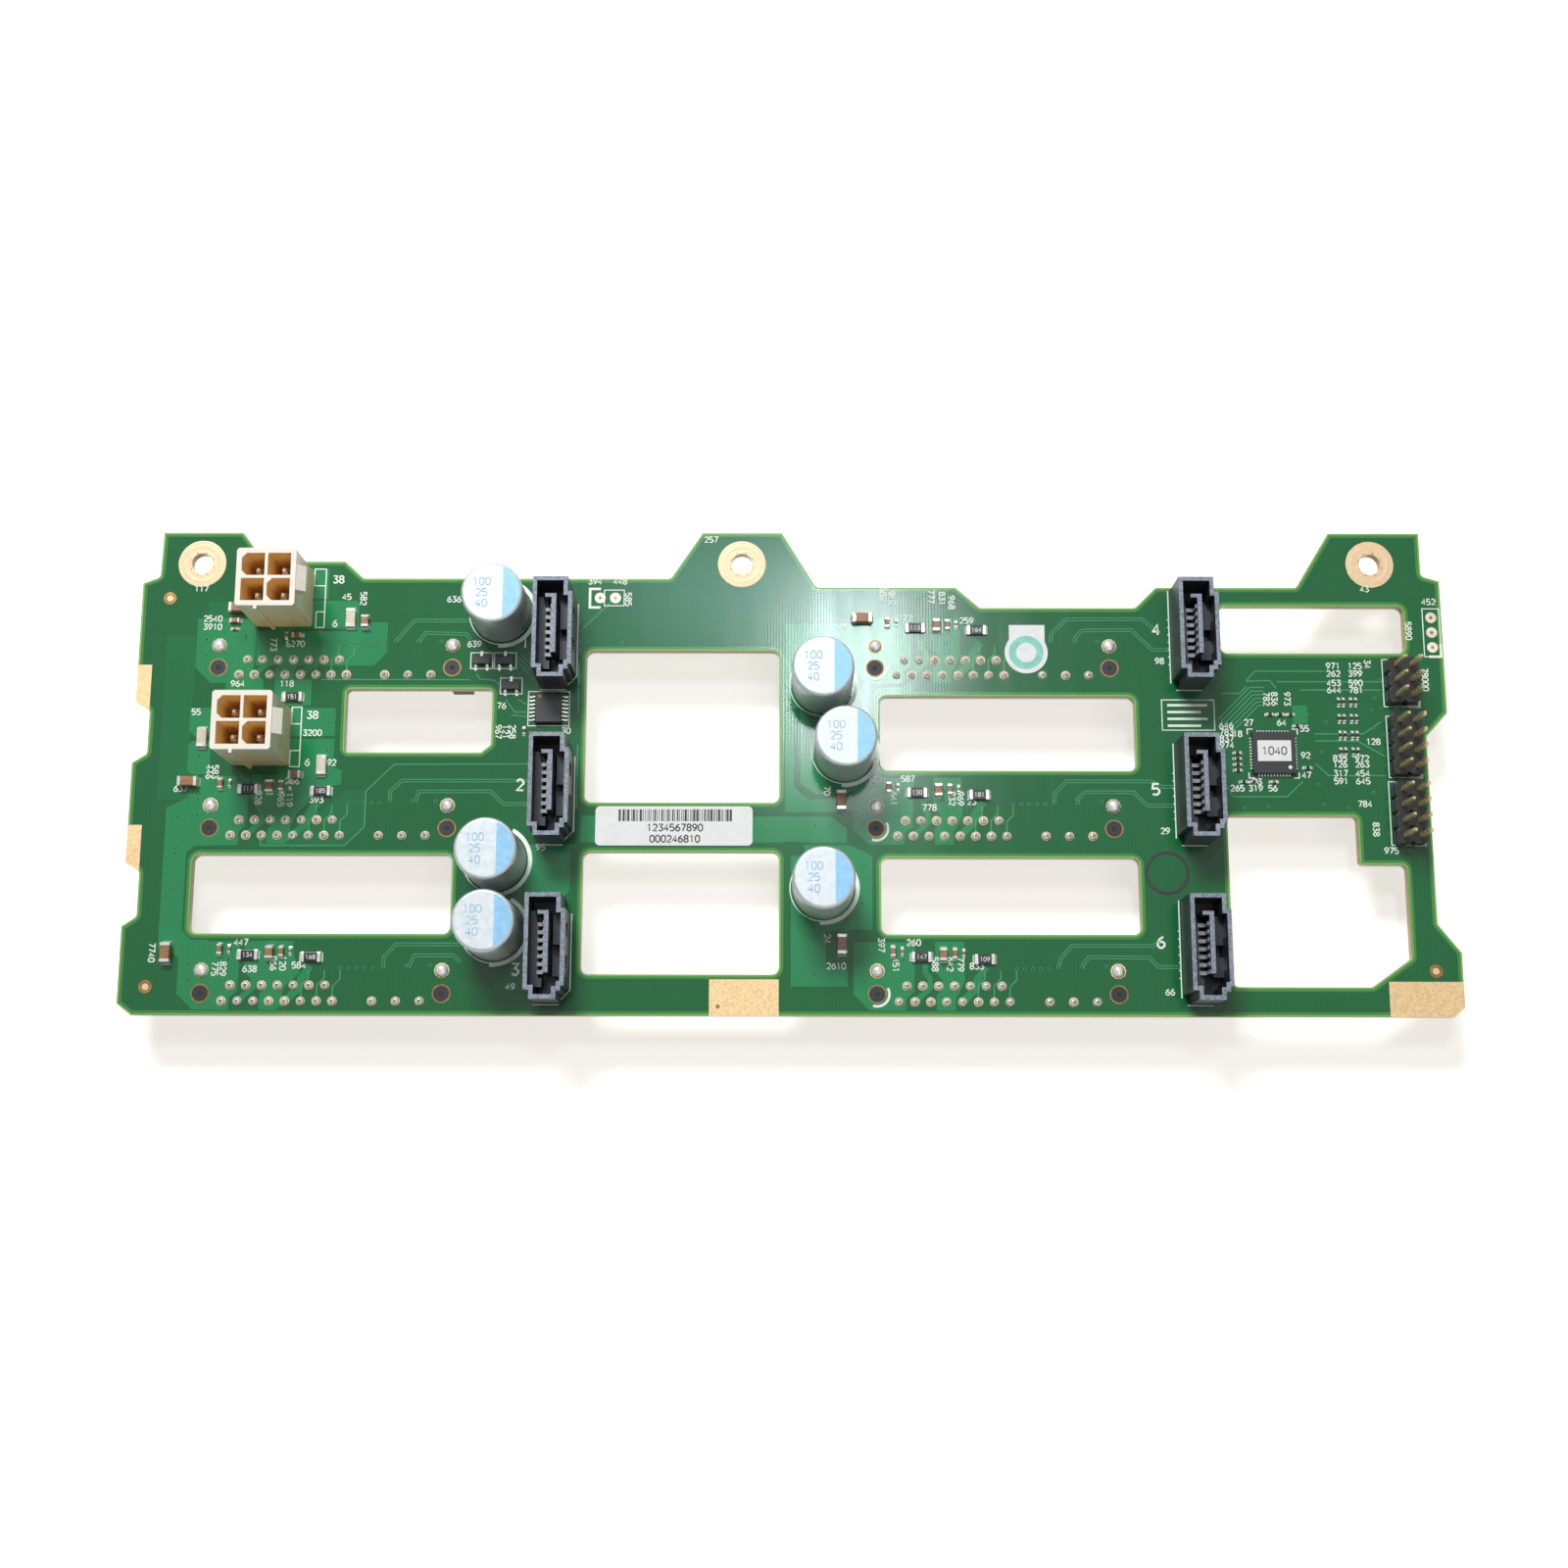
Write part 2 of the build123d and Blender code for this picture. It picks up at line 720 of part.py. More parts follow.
# Seven bent leads on each side of the driver
driver_lead = gull_wing(driver_width / 2, driver_height / 2, lead_reach, lead_width)
with BuildPart() as driver_leads:
    for i in range(driver_leads_per_side):
        step = (i - (driver_leads_per_side - 1) / 2) * driver_lead_pitch
        for turn in (0, 180):
            add(driver_lead.moved(Location((driver_centre[0], driver_centre[1] + step, 0), (0, 0, turn))))
driver_leads.part.label = "driver_leads"
export_step(driver_leads.part, "parts/driver_leads.step")

# Three small diode packages, each with one lead above and two below
diode_places = [
    (driver_centre[0] - 11.3, driver_centre[1] + 8.1),
    (driver_centre[0] - 7.4, driver_centre[1] + 8.1),
    (driver_centre[0] - 6.3, driver_centre[1] + 3.8),
]
with BuildPart() as diode_bodies:
    with BuildSketch(Plane.XY.offset(board_top + standoff)):
        with Locations(*diode_places):
            Rectangle(diode_length, diode_width)
    extrude(amount=diode_height - standoff)
diode_bodies.part.label = "diode_bodies"
export_step(diode_bodies.part, "parts/diode_bodies.step")

diode_lead = gull_wing(diode_width / 2, diode_height / 2, lead_reach, diode_lead_width)
with BuildPart() as diode_leads:
    for x, y in diode_places:
        for step, turn in ((0, 90), (-diode_lead_pitch / 2, -90), (diode_lead_pitch / 2, -90)):
            add(diode_lead.moved(Location((x + step, y, 0), (0, 0, turn))))
diode_leads.part.label = "diode_leads"
export_step(diode_leads.part, "parts/diode_leads.step")

# Chip parts, each as place and turn. The same seven stand above the pins of five of the bays.
upright = 90
flat = 0
group_places = {
    0: (-0.95, 8.1, 0.0),
    1: (-1.4, 8.05, 0.0),
    2: (-1.45, 8.9, 0.0),
    3: (-0.65, 8.3, 0.0),
    4: (-2.0, 8.55, 1.7),
}
small_capacitors = []
tiny_capacitors = []
middle_capacitors = []
resistors = []
for number, (group_x, group_y, last_shift) in group_places.items():
    x = bays[number][0] + group_x
    y = bays[number][1] + group_y
    small_capacitors += [((x, y), upright), ((x + 9.95, y - 0.35), upright)]
    tiny_capacitors += [((x + 1.5, y), upright), ((x + 11.4, y - 0.3), upright)]
    middle_capacitors.append(((x + 8.1, y - 0.5), upright))
    resistors += [((x + 4.6, y - 0.9), flat), ((x + 14.75 + last_shift, y - 1.25), flat)]

# Chip parts that stand by themselves
large_capacitors = [
    ((right_bay_x - 5.63, high_row + 9.55), flat),
    ((right_bay_x - 9.15, middle_row + 5.8), upright),
    ((right_bay_x - 9.15, low_row + 9.2), upright),
    ((left_bay_x - 9.2, low_row + 7.7), upright),
    ((left_bay_x - 7.23, middle_row + 8.77), flat),
    ((left_bay_x - 0.4, high_row + 11.3), flat),
]
middle_capacitors += [
    ((left_bay_x + 20.62, high_row + 9.0), upright),
    ((left_bay_x + 10.15, middle_row + 10.0), flat),
]
small_capacitors += [
    ((left_bay_x - 1.05, high_row + 9.17), flat),
    ((left_bay_x + 9.4, high_row + 6.7), flat),
]
tiny_capacitors += [
    ((left_bay_x - 1.0, high_row + 7.8), flat),
    ((left_bay_x + 7.6, high_row + 6.7), upright),
]
resistors += [
    ((left_bay_x + 9.09, high_row - 3.85), flat),
    ((left_bay_x + 0.5, high_row - 3.85), flat),
]
fuses = [
    ((left_bay_x + 18.2, high_row + 9.6), upright),
    ((left_bay_x + 14.42, middle_row + 11.6), upright),
    ((left_bay_x - 5.43, high_row - 10.73), upright),
]
cx, cy = controller_centre
tiny_resistors = [
    ((cx + 11.5 + 2.0 * column + 0.8 * twin, cy + 8.65 - 2.8 * row), upright)
    for row in range(4)
    for column in range(2)
    for twin in (-0.5, 0.5)
]
tiny_resistors += [((cx - 0.3 + 1.7 * i, cy + 6.55), flat) for i in range(3)]
tiny_resistors += [((cx - 5.9, cy - 0.4 - 0.97 * (i - 0.5)), flat) for i in range(4)]
tiny_resistors += [((cx - 5.04, cy - 4.75), flat), ((cx - 3.4, cy - 4.75), flat)]
tiny_resistors += [((cx + 4.1, cy + 4.6), flat), ((cx + 5.5, cy - 2.4), flat)]
tiny_resistors += [((driver_centre[0] - 4.0, driver_centre[1] - 3.8), upright)]
tiny_capacitors += [((cx - 0.1, cy - 4.75), flat)]


def chip_bodies(places, size, capped=True):
    """The middles of chip parts, or the whole chips where they have no end caps of their own."""
    length, width, height = size
    body_length = length * (1 - 2 * end_cap_share) if capped else length
    with BuildPart() as bodies:
        for (x, y), turn in places:
            with Locations(Location((x, y, board_top), (0, 0, turn))):
                Box(body_length, width, height, align=(Align.CENTER, Align.CENTER, Align.MIN))
    return bodies.part


def chip_caps(places, size):
    """The two metal ends of each chip part."""
    length, width, height = size
    cap_length = length * end_cap_share
    shift = (length - cap_length) / 2
    with BuildPart() as caps:
        for (x, y), turn in places:
            with Locations(Location((x, y, board_top), (0, 0, turn))):
                with Locations((-shift, 0), (shift, 0)):
                    Box(cap_length, width, height, align=(Align.CENTER, Align.CENTER, Align.MIN))
    return caps.part


# Ceramic capacitors
with BuildPart() as ceramic_capacitors:
    add(chip_bodies(large_capacitors, large_chip))
    add(chip_bodies(middle_capacitors, middle_chip))
    add(chip_bodies(small_capacitors, small_chip, capped=False))
    add(chip_bodies(tiny_capacitors, tiny_chip, capped=False))
ceramic_capacitors.part.label = "ceramic_capacitors"
export_step(ceramic_capacitors.part, "parts/ceramic_capacitors.step")

# Chip resistors
with BuildPart() as chip_resistors:
    add(chip_bodies(resistors, resistor_chip))
    add(chip_bodies(tiny_resistors, tiny_chip, capped=False))
chip_resistors.part.label = "chip_resistors"
export_step(chip_resistors.part, "parts/chip_resistors.step")

# Surface fuses
with BuildPart() as surface_fuses:
    add(chip_bodies(fuses, fuse_chip))
surface_fuses.part.label = "surface_fuses"
export_step(surface_fuses.part, "parts/surface_fuses.step")

# End caps of the chip parts
with BuildPart() as chip_end_caps:
    add(chip_caps(large_capacitors, large_chip))
    add(chip_caps(middle_capacitors, middle_chip))
    add(chip_caps(resistors, resistor_chip))
    add(chip_caps(fuses, fuse_chip))
chip_end_caps.part.label = "chip_end_caps"
export_step(chip_end_caps.part, "parts/chip_end_caps.step")


# Solder
def solder_cone(radius, tip, height, sides):
    """A joint with flat sides that narrows from the board towards the pin's end."""
    inset = (radius - tip) * math.cos(math.pi / sides)
    with BuildPart() as cone:
        with BuildSketch():
            RegularPolygon(radius, sides)
        extrude(amount=height, taper=math.degrees(math.atan2(inset, height)))
    return cone.part


# Rows of drive socket pins, soldered on the cable side
power_pin_rows = [(i * contact_pitch, (i % 2) * 2 * contact_pitch) for i in range(power_contact_count)]
signal_pin_row = [(signal_start + i * 3 * contact_pitch, 0) for i in range(3)]
drive_pin_places = [
    (bay_x + x, bay_y + y) for bay_x, bay_y in bays for x, y in power_pin_rows + signal_pin_row
]
pin_cone = solder_cone(pin_solder_radius, pin_solder_tip, pin_solder_height, 4)
lock_cone = solder_cone(lock_solder_radius, pin_solder_radius, lock_solder_height, 6)
with BuildPart() as cable_side_solder:
    with Locations(*[(x, y, board_top) for x, y in drive_pin_places]):
        add(pin_cone)
    with Locations(*[(x, y, board_top) for x, y in lock_places]):
        add(lock_cone)
cable_side_solder.part.label = "cable_side_solder"
export_step(cable_side_solder.part, "parts/cable_side_solder.step")

# Joints of the cans, power sockets and headers, soldered on the drive side
power_joint_places = [(x + dx, y + dy) for x, y in power_sockets.values() for dx, dy in cells]
drive_side_cone = solder_cone(pin_solder_radius, pin_solder_tip, pin_solder_height, 4)
with BuildPart() as drive_side_solder:
    for x, y in can_lead_places + power_joint_places + header_pin_places:
        add(drive_side_cone.moved(Location((x, y, board_bottom), (180, 0, 0))))
drive_side_solder.part.label = "drive_side_solder"
export_step(drive_side_solder.part, "parts/drive_side_solder.step")

# Serial label on the bridge between the two middle windows
with BuildPart() as serial_label:
    with BuildSketch(Plane.XY.offset(board_top)):
        label_length = middle_window_right - middle_window_left - 2 * serial_label_end_gap
        label_x = (middle_window_left + middle_window_right) / 2 - 1.2
        with Locations((label_x, middle_row + 1.63)):
            RectangleRounded(label_length, serial_label_width, corner_round)
    extrude(amount=label_thickness)
serial_label.part.label = "serial_label"
export_step(serial_label.part, "parts/serial_label.step")

# Round inspection sticker with a flat tab above
sticker_centre = (right_bay_x + 21.53, high_row + 3.89)
with BuildPart() as inspection_sticker:
    with BuildSketch(Plane.XY.offset(board_top)):
        with Locations(sticker_centre):
            Circle(sticker_radius)
            Rectangle(sticker_tab_width, sticker_tab_rise, align=(Align.CENTER, Align.MIN))
    extrude(amount=label_thickness)
inspection_sticker.part.label = "inspection_sticker"
export_step(inspection_sticker.part, "parts/inspection_sticker.step")

# Paper label on the controller
with BuildPart() as controller_label:
    with BuildSketch(Plane.XY.offset(board_top + controller_height)):
        with Locations((controller_centre[0], controller_centre[1] + 0.27)):
            Rectangle(*controller_label_size)
    extrude(amount=label_thickness)
controller_label.part.label = "controller_label"
export_step(controller_label.part, "parts/controller_label.step")

# Two status lamps beside each drive socket, on the drive side
lamp_length, lamp_width, lamp_height = lamp_size
lamp_start = socket_middle + drive_socket_length / 2
lamp_places = [
    (x + lamp_start + lamp_gap * step, y + drive_bar_centre) for x, y in bays for step in (1, 2)
]
with BuildPart() as status_lamps:
    with BuildSketch(Plane.XY.offset(board_bottom - lamp_height)):
        with Locations(*lamp_places):
            Rectangle(lamp_length, lamp_width)
    extrude(amount=lamp_height)
status_lamps.part.label = "status_lamps"
export_step(status_lamps.part, "parts/status_lamps.step")

# Bare gold areas on the board's edges, the pads of the unused jumpers and the tooling dots
foot_land_length = 11.17
foot_land_depth = 5.88
pad_radius = 0.85
dot_radius = 0.75
jumper_x = right - 1.76
jumper_y = high_row + 4.84
test_jumper = (left_data_x + 10.2, high_row + 13.2)
round_pads = [
    (jumper_x, jumper_y + header_pitch),
    (jumper_x, jumper_y + 2 * header_pitch),
    (test_jumper[0] + header_pitch, test_jumper[1]),
]
tooling_dots = [
    (left + 4.66, top - 11.46),
    (left + 4.45, bottom + 4.55),
    (right - 4.33, bottom + 7.35),
]
edge_areas = [
    (left, left + 2.35, high_row - 7.5, high_row + 1.65),
    (left, left + 2.3, middle_row - 7.0, middle_row + 1.68),
    (middle_window_right - foot_land_length, middle_window_right, bottom, bottom + foot_land_depth),
    (right - 12.0, right, bottom, bottom + 5.65),
]
with BuildPart() as bare_lands:
    with BuildSketch(Plane.XY.offset(board_top)):
        for area_left, area_right, area_low, area_high in edge_areas:
            with Locations(((area_left + area_right) / 2, (area_low + area_high) / 2)):
                Rectangle(area_right - area_left, area_high - area_low)
        with Locations((jumper_x, jumper_y), test_jumper):
            Rectangle(2 * pad_radius, 2 * pad_radius)
        with Locations(*round_pads):
            RegularPolygon(pad_radius, 8)
        with Locations(*tooling_dots):
            RegularPolygon(dot_radius, 8)
        add(board_outline.sketch, mode=Mode.INTERSECT)
    extrude(amount=land_thickness)
bare_lands.part.label = "bare_lands"
export_step(bare_lands.part, "parts/bare_lands.step")
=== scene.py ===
"""Looks of the drive backplane board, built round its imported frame.

Places are millimetres in the frame's own axes, as on a drawing of the board, until they become metres.
"""

import math
import random

import bmesh
import bpy
from mathutils import Euler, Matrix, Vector


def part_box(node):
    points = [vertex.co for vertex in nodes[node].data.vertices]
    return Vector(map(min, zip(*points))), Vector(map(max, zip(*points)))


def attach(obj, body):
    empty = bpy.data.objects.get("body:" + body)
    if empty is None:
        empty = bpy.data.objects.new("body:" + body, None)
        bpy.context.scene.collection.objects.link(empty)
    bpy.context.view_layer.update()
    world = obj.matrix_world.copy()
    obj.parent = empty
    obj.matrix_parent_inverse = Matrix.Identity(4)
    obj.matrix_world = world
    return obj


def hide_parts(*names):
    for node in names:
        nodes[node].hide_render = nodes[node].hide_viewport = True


MM = 0.001
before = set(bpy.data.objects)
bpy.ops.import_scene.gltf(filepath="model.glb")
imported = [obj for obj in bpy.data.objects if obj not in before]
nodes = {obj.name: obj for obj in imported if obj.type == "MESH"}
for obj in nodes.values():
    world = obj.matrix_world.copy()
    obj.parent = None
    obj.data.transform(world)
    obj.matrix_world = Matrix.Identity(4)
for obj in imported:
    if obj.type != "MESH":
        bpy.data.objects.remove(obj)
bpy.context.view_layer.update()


def box_mm(node):
    """The lowest and highest corners of a CAD node in millimetres."""
    return [tuple(value / MM for value in corner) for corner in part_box(node)]


def linked(name, data):
    """A new object in the scene."""
    made = bpy.data.objects.new(name, data)
    bpy.context.scene.collection.objects.link(made)
    return made


def node_in(tree, kind, feeds=(), **settings):
    """A tree's node with its settings and inputs, each a value or another node's output."""
    node = tree.nodes.new(kind)
    for setting, value in settings.items():
        setattr(node, setting, value)
    for socket, value in dict(feeds).items():
        if isinstance(value, bpy.types.NodeSocket):
            tree.links.new(value, node.inputs[socket])
        else:
            node.inputs[socket].default_value = value
    return node


# Heights of the board's two faces, from the frame
BOARD_BOTTOM, BOARD_TOP = (corner[2] for corner in box_mm("circuit_board"))

# Camera, where the photograph was taken from
PHOTO_WIDTH = 1600
FOCAL_PIXELS = 2114.2
SENSOR_WIDTH = 36.0
CAMERA_PLACE = (0.06, -68.37, BOARD_TOP + 332.31)
CAMERA_TURN = (11.215, 0.169, 0.107)
camera_data = bpy.data.cameras.new("camera")
camera_data.sensor_width = SENSOR_WIDTH
camera_data.lens = FOCAL_PIXELS * SENSOR_WIDTH / PHOTO_WIDTH
camera_data.clip_start = 0.01
camera = linked("camera", camera_data)
camera.location = Vector(CAMERA_PLACE) * MM
camera.rotation_euler = Euler([math.radians(angle) for angle in CAMERA_TURN])
bpy.context.scene.camera = camera
bpy.context.scene.view_settings.view_transform = "Standard"


# Materials
def colour(red, green, blue):
    """A colour written as it shows on screen, 0 to 255, as the linear values that a shader takes."""
    shares = [c / 255 for c in (red, green, blue)]
    linear = [c / 12.92 if c <= 0.04045 else ((c + 0.055) / 1.055) ** 2.4 for c in shares]
    return (*linear, 1.0)


def shade(base, share):
    """A screen colour made lighter or darker by a share."""
    return tuple(min(255, max(0, c * (1 + share))) for c in base)


class Surface:
    """One principled material and the nodes that feed it, all on Object coordinates."""

    def __init__(self, name, roughness, metallic=0.0, **sockets):
        self.material = bpy.data.materials.new(name)
        self.material.use_nodes = True
        self.tree = self.material.node_tree
        self.shader = self.tree.nodes["Principled BSDF"]
        self.shader.inputs["Roughness"].default_value = roughness
        self.shader.inputs["Metallic"].default_value = metallic
        for socket, value in sockets.items():
            self.shader.inputs[socket.replace("_", " ")].default_value = value
        self.place = self.add("ShaderNodeTexCoord").outputs["Object"]

    def add(self, kind, feeds=(), **settings):
        """One more node of the material."""
        return node_in(self.tree, kind, feeds, **settings)

    def noise(self, scale, detail=2.0, stretch=(1, 1, 1)):
        """Soft noise from 0 to 1, with its scale in waves a metre."""
        turned = self.add("ShaderNodeMapping", {"Vector": self.place, "Scale": stretch})
        feeds = {"Vector": turned.outputs["Vector"], "Scale": scale, "Detail": detail}
        return self.add("ShaderNodeTexNoise", feeds).outputs["Fac"]

    def sum(self, operation, *values):
        """One step of arithmetic."""
        return self.add("ShaderNodeMath", enumerate(values), operation=operation).outputs[0]

    def between(self, value, low, high):
        """0 below the first bound, 1 above the second, and a ramp between them."""
        return self.add("ShaderNodeMapRange", {0: value, 1: low, 2: high}, clamp=True).outputs[0]

    def mixed(self, share, first, second):
        """A colour between two."""
        feeds = {0: share, 6: first, 7: second}
        return self.add("ShaderNodeMix", feeds, data_type="RGBA").outputs[2]

    def toned(self, share, base, darker, lighter):
        """A screen colour that swings between two shares of itself."""
        return self.mixed(share, colour(*shade(base, darker)), colour(*shade(base, lighter)))

    def paint(self, painted):
        """Sets the colour."""
        self.tree.links.new(painted, self.shader.inputs["Base Color"])

    def dull(self, grain, swing, roughness):
        """Sets the roughness, which swings with a grain from 0 to 1."""
        value = self.sum("MULTIPLY_ADD", grain, swing, roughness - swing / 2)
        self.tree.links.new(value, self.shader.inputs["Roughness"])

    def relief(self, height, strength, depth):
        """Raises the surface by a height from 0 to 1 of some depth in millimetres."""
        feeds = {"Height": height, "Strength": strength, "Distance": depth * MM}
        self.tree.links.new(self.add("ShaderNodeBump", feeds).outputs[0], self.shader.inputs["Normal"])

    def rise(self):
        """1 on faces that look up, 0 on walls, -1 on undersides."""
        normal = self.add("ShaderNodeTexCoord").outputs["Normal"]
        return self.add("ShaderNodeSeparateXYZ", {0: normal}).outputs[2]

    def parts(self):
        """The three coordinates of the place."""
        return self.add("ShaderNodeSeparateXYZ", {0: self.place}).outputs


def grained(name, base, roughness, metallic=0.0, swing=0.1, scale=900.0, strength=0.25, **sockets):
    """A material with a fine grain in its colour, gloss and relief."""
    made = Surface(name, roughness, metallic, **sockets)
    grain = made.noise(scale, 3.0)
    spread = made.between(grain, 0.3, 0.7)
    made.paint(made.toned(spread, base, -swing, swing))
    made.dull(grain, 0.16, roughness)
    made.relief(grain, strength, 0.02)
    return made.material


WEAVE_SCALE = 640.0
LAMINATE = (206, 156, 76)


def masked(name, base, swing=0.05, roughness=0.15):
    """Solder mask over woven glass, with bare laminate where the board was cut."""
    made = Surface(name, roughness)
    wave = {"Vector": made.place, "Scale": WEAVE_SCALE, "Distortion": 0.9, "Detail": 2.0,
            "Detail Scale": 1.4}
    warp = made.add("ShaderNodeTexWave", wave, bands_direction="X").outputs["Fac"]
    weft = made.add("ShaderNodeTexWave", wave, bands_direction="Y").outputs["Fac"]
    weave = made.sum("MULTIPLY_ADD", warp, 0.7, made.sum("MULTIPLY", weft, 0.3))
    cloud = made.noise(14.0, 3.0)
    tone = made.sum("MULTIPLY_ADD", weave, 0.55, made.sum("MULTIPLY", cloud, 0.45))
    green = made.toned(tone, base, -swing * 2, swing * 2)
    fibres = made.noise(900.0, 2.0, (1, 1, 6))
    cut = made.toned(fibres, LAMINATE, -0.25, 0.15)
    flat = made.between(made.sum("ABSOLUTE", made.rise()), 0.5, 0.7)
    made.paint(made.mixed(flat, cut, green))
    made.dull(made.noise(420.0, 2.0, (1, 0.12, 1)), 0.1, roughness)
    made.relief(weave, 0.18, 0.012)
    return made.material


def moulded(name, walls, rims, highlight_height, roughness, speckle=0.18):
    """Glass filled plastic with a painted highlight: its faces that look up, above a height, take the paler
    rim colour instead of the wall colour.
    """
    made = Surface(name, roughness)
    grain = made.between(made.noise(2600.0, 2.0), 0.35, 0.65)
    dark = made.toned(grain, walls, -speckle, speckle)
    pale = made.toned(grain, rims, -speckle, speckle)
    # Painted highlight: upward faces above the highlight height get the paler colour
    height = made.between(made.parts()[2], highlight_height * MM, (highlight_height + 0.1) * MM)
    upward = made.between(made.rise(), 0.6, 0.8)
    made.paint(made.mixed(made.sum("MULTIPLY", upward, height), dark, pale))
    made.relief(grain, 0.2, 0.02)
    return made.material


POWER_HALF = 4.8
LATCH_REACH = 1.4
CAVITY_HALF = 4.15


def nylon(name, node):
    """Cream nylon with a painted orange brown glow inside a power socket's cavities, standing in for light
    that comes through the nylon.
    """
    low, high = box_mm(node)
    made = Surface(name, 0.42, Subsurface_Weight=0.12, Subsurface_Scale=1.5 * MM)
    grain = made.noise(700.0, 3.0)
    cream = made.mixed(grain, colour(246, 234, 214), colour(255, 248, 236))
    x, y, z = made.parts()
    latched = high[0] - low[0] > 2 * POWER_HALF + LATCH_REACH / 2
    centre_x = high[0] - POWER_HALF - LATCH_REACH if latched else (low[0] + high[0]) / 2
    centre_y = high[1] - POWER_HALF
    across = made.sum("ABSOLUTE", made.sum("SUBTRACT", x, centre_x * MM))
    along = made.sum("ABSOLUTE", made.sum("SUBTRACT", y, centre_y * MM))
    inside = made.sum("LESS_THAN", made.sum("MAXIMUM", across, along), CAVITY_HALF * MM)
    # Depths from the housing's rim: the walls warm towards the board, and the painted glow in the cavities
    # deepens towards their floor
    low_down = made.between(z, (high[2] - 1.5) * MM, (low[2] + 2.0) * MM)
    cream = made.mixed(low_down, cream, colour(255, 222, 170))
    below = made.between(z, (high[2] - 0.25) * MM, (high[2] - 0.9) * MM)
    deep = made.between(z, (high[2] - 1.0) * MM, (high[2] - 9.0) * MM)
    # The cavities' colour is a painted glow of light through the nylon
    painted_glow = made.mixed(deep, colour(255, 222, 156), colour(255, 196, 112))
    made.paint(made.mixed(made.sum("MULTIPLY", inside, below), cream, painted_glow))
    made.relief(grain, 0.15, 0.02)
    return made.material


mask_green = masked("mask_green", (8, 101, 52))
pour_green = masked("pour_green", (32, 136, 82))
middle_green = masked("middle_green", (14, 110, 62))
trace_green = masked("trace_green", (70, 156, 110))
bare_glass = masked("bare_glass", (126, 176, 84), 0.08, 0.35)
thin_mask = masked("thin_mask", (64, 138, 66), 0.06)
via_dark = masked("via_dark", (6, 44, 26), 0.1)
silk = grained("silk", (244, 250, 240), 0.5, swing=0.03)
black_ink = grained("black_ink", (30, 32, 32), 0.5)
gold = grained("gold", (238, 206, 164), 0.4, 0.15, 0.03, 1500.0, 0.15)
worn_gold = grained("worn_gold", (232, 199, 148), 0.45, 0.3, 0.07, 2400.0)
brass = grained("brass", (220, 198, 150), 0.28, 0.6, 0.08, 1500.0)
contact_gold = grained("contact_gold", (214, 172, 96), 0.3, 0.9, 0.08)
contact_silver = grained("contact_silver", (138, 141, 146), 0.4, 0.3, 0.08)
solder = grained("solder", (222, 221, 216), 0.24, 0.45, 0.08, 1800.0, 0.3)
dull_pin = grained("dull_pin", (120, 116, 108), 0.35, 0.8, 0.1)
tin = grained("tin", (206, 204, 196), 0.28, 0.7, 0.06)
pad_tin = grained("pad_tin", (238, 232, 208), 0.35, 0.2, 0.05)
rim_brown = grained("rim_brown", (150, 112, 58), 0.4, 0.4, 0.15)
# The second, paler colour is a painted highlight on the data sockets' upward faces near their top
charcoal = moulded("charcoal", (38, 41, 46), (130, 139, 152), BOARD_TOP + 7.6, 0.42)
black_plastic = grained("black_plastic", (26, 27, 29), 0.45, swing=0.15, scale=2200.0)
header_black = grained("header_black", (20, 21, 22), 0.4, swing=0.15, scale=2200.0)
# Painted shade for the hollows in the drive sockets' post ends
hollow_shade = grained("hollow_shade", (12, 12, 12), 0.7)
package = grained("package", (32, 35, 37), 0.5, swing=0.14, scale=3000.0, strength=0.4)
ceramic = grained("ceramic", (152, 108, 76), 0.4, swing=0.12, scale=1400.0)
resistor_black = grained("resistor_black", (28, 28, 30), 0.3, swing=0.15)
fuse_body = grained("fuse_body", (214, 206, 182), 0.45, swing=0.06)
paper = grained("paper", (238, 239, 236), 0.6, swing=0.02)
mint = grained("mint", (140, 208, 196), 0.5, swing=0.06)
can_silver = grained("can_silver", (190, 198, 200), 0.42, 0.65, 0.03, 1200.0, 0.1)
can_top = grained("can_top", (222, 229, 233), 0.4, 0.15, 0.03, 1200.0, 0.1)
can_blue = grained("can_blue", (150, 204, 240), 0.4, 0.1, 0.04)
can_ink = grained("can_ink", (160, 196, 226), 0.5, 0.0, 0.04)
lamp_clear = grained("lamp_clear", (220, 232, 220), 0.2, swing=0.04, Transmission_Weight=0.4)


# Flat layers, drawn in millimetres
SHARPEST_MITRE = 0.3


def offset_line(points, distance, closed=False):
    """A line moved to its left by a distance, with mitred corners."""
    moved = []
    last = len(points) - 1
    for i, (x, y) in enumerate(points):
        before = points[i - 1] if i or closed else None
        after = points[(i + 1) % (last + 1)] if i < last or closed else None
        normals = []
        for start, end in ((before, (x, y)), ((x, y), after)):
            if start is not None and end is not None:
                along = Vector((end[0] - start[0], end[1] - start[1])).normalized()
                normals.append(Vector((-along.y, along.x)))
        mean = sum(normals, Vector((0, 0))) / len(normals)
        reach = distance / max(mean.length_squared, SHARPEST_MITRE)
        moved.append((x + mean.x * reach, y + mean.y * reach))
    return moved


def circle(x, y, radius, sides, start=0.0, end=360.0):
    """Points on a circle or arc, counterclockwise from a start angle in degrees."""
    whole = end - start >= 360
    count = sides if whole else sides + 1
    angles = [math.radians(start + (end - start) * i / sides) for i in range(count)]
    return [(x + radius * math.cos(a), y + radius * math.sin(a)) for a in angles]


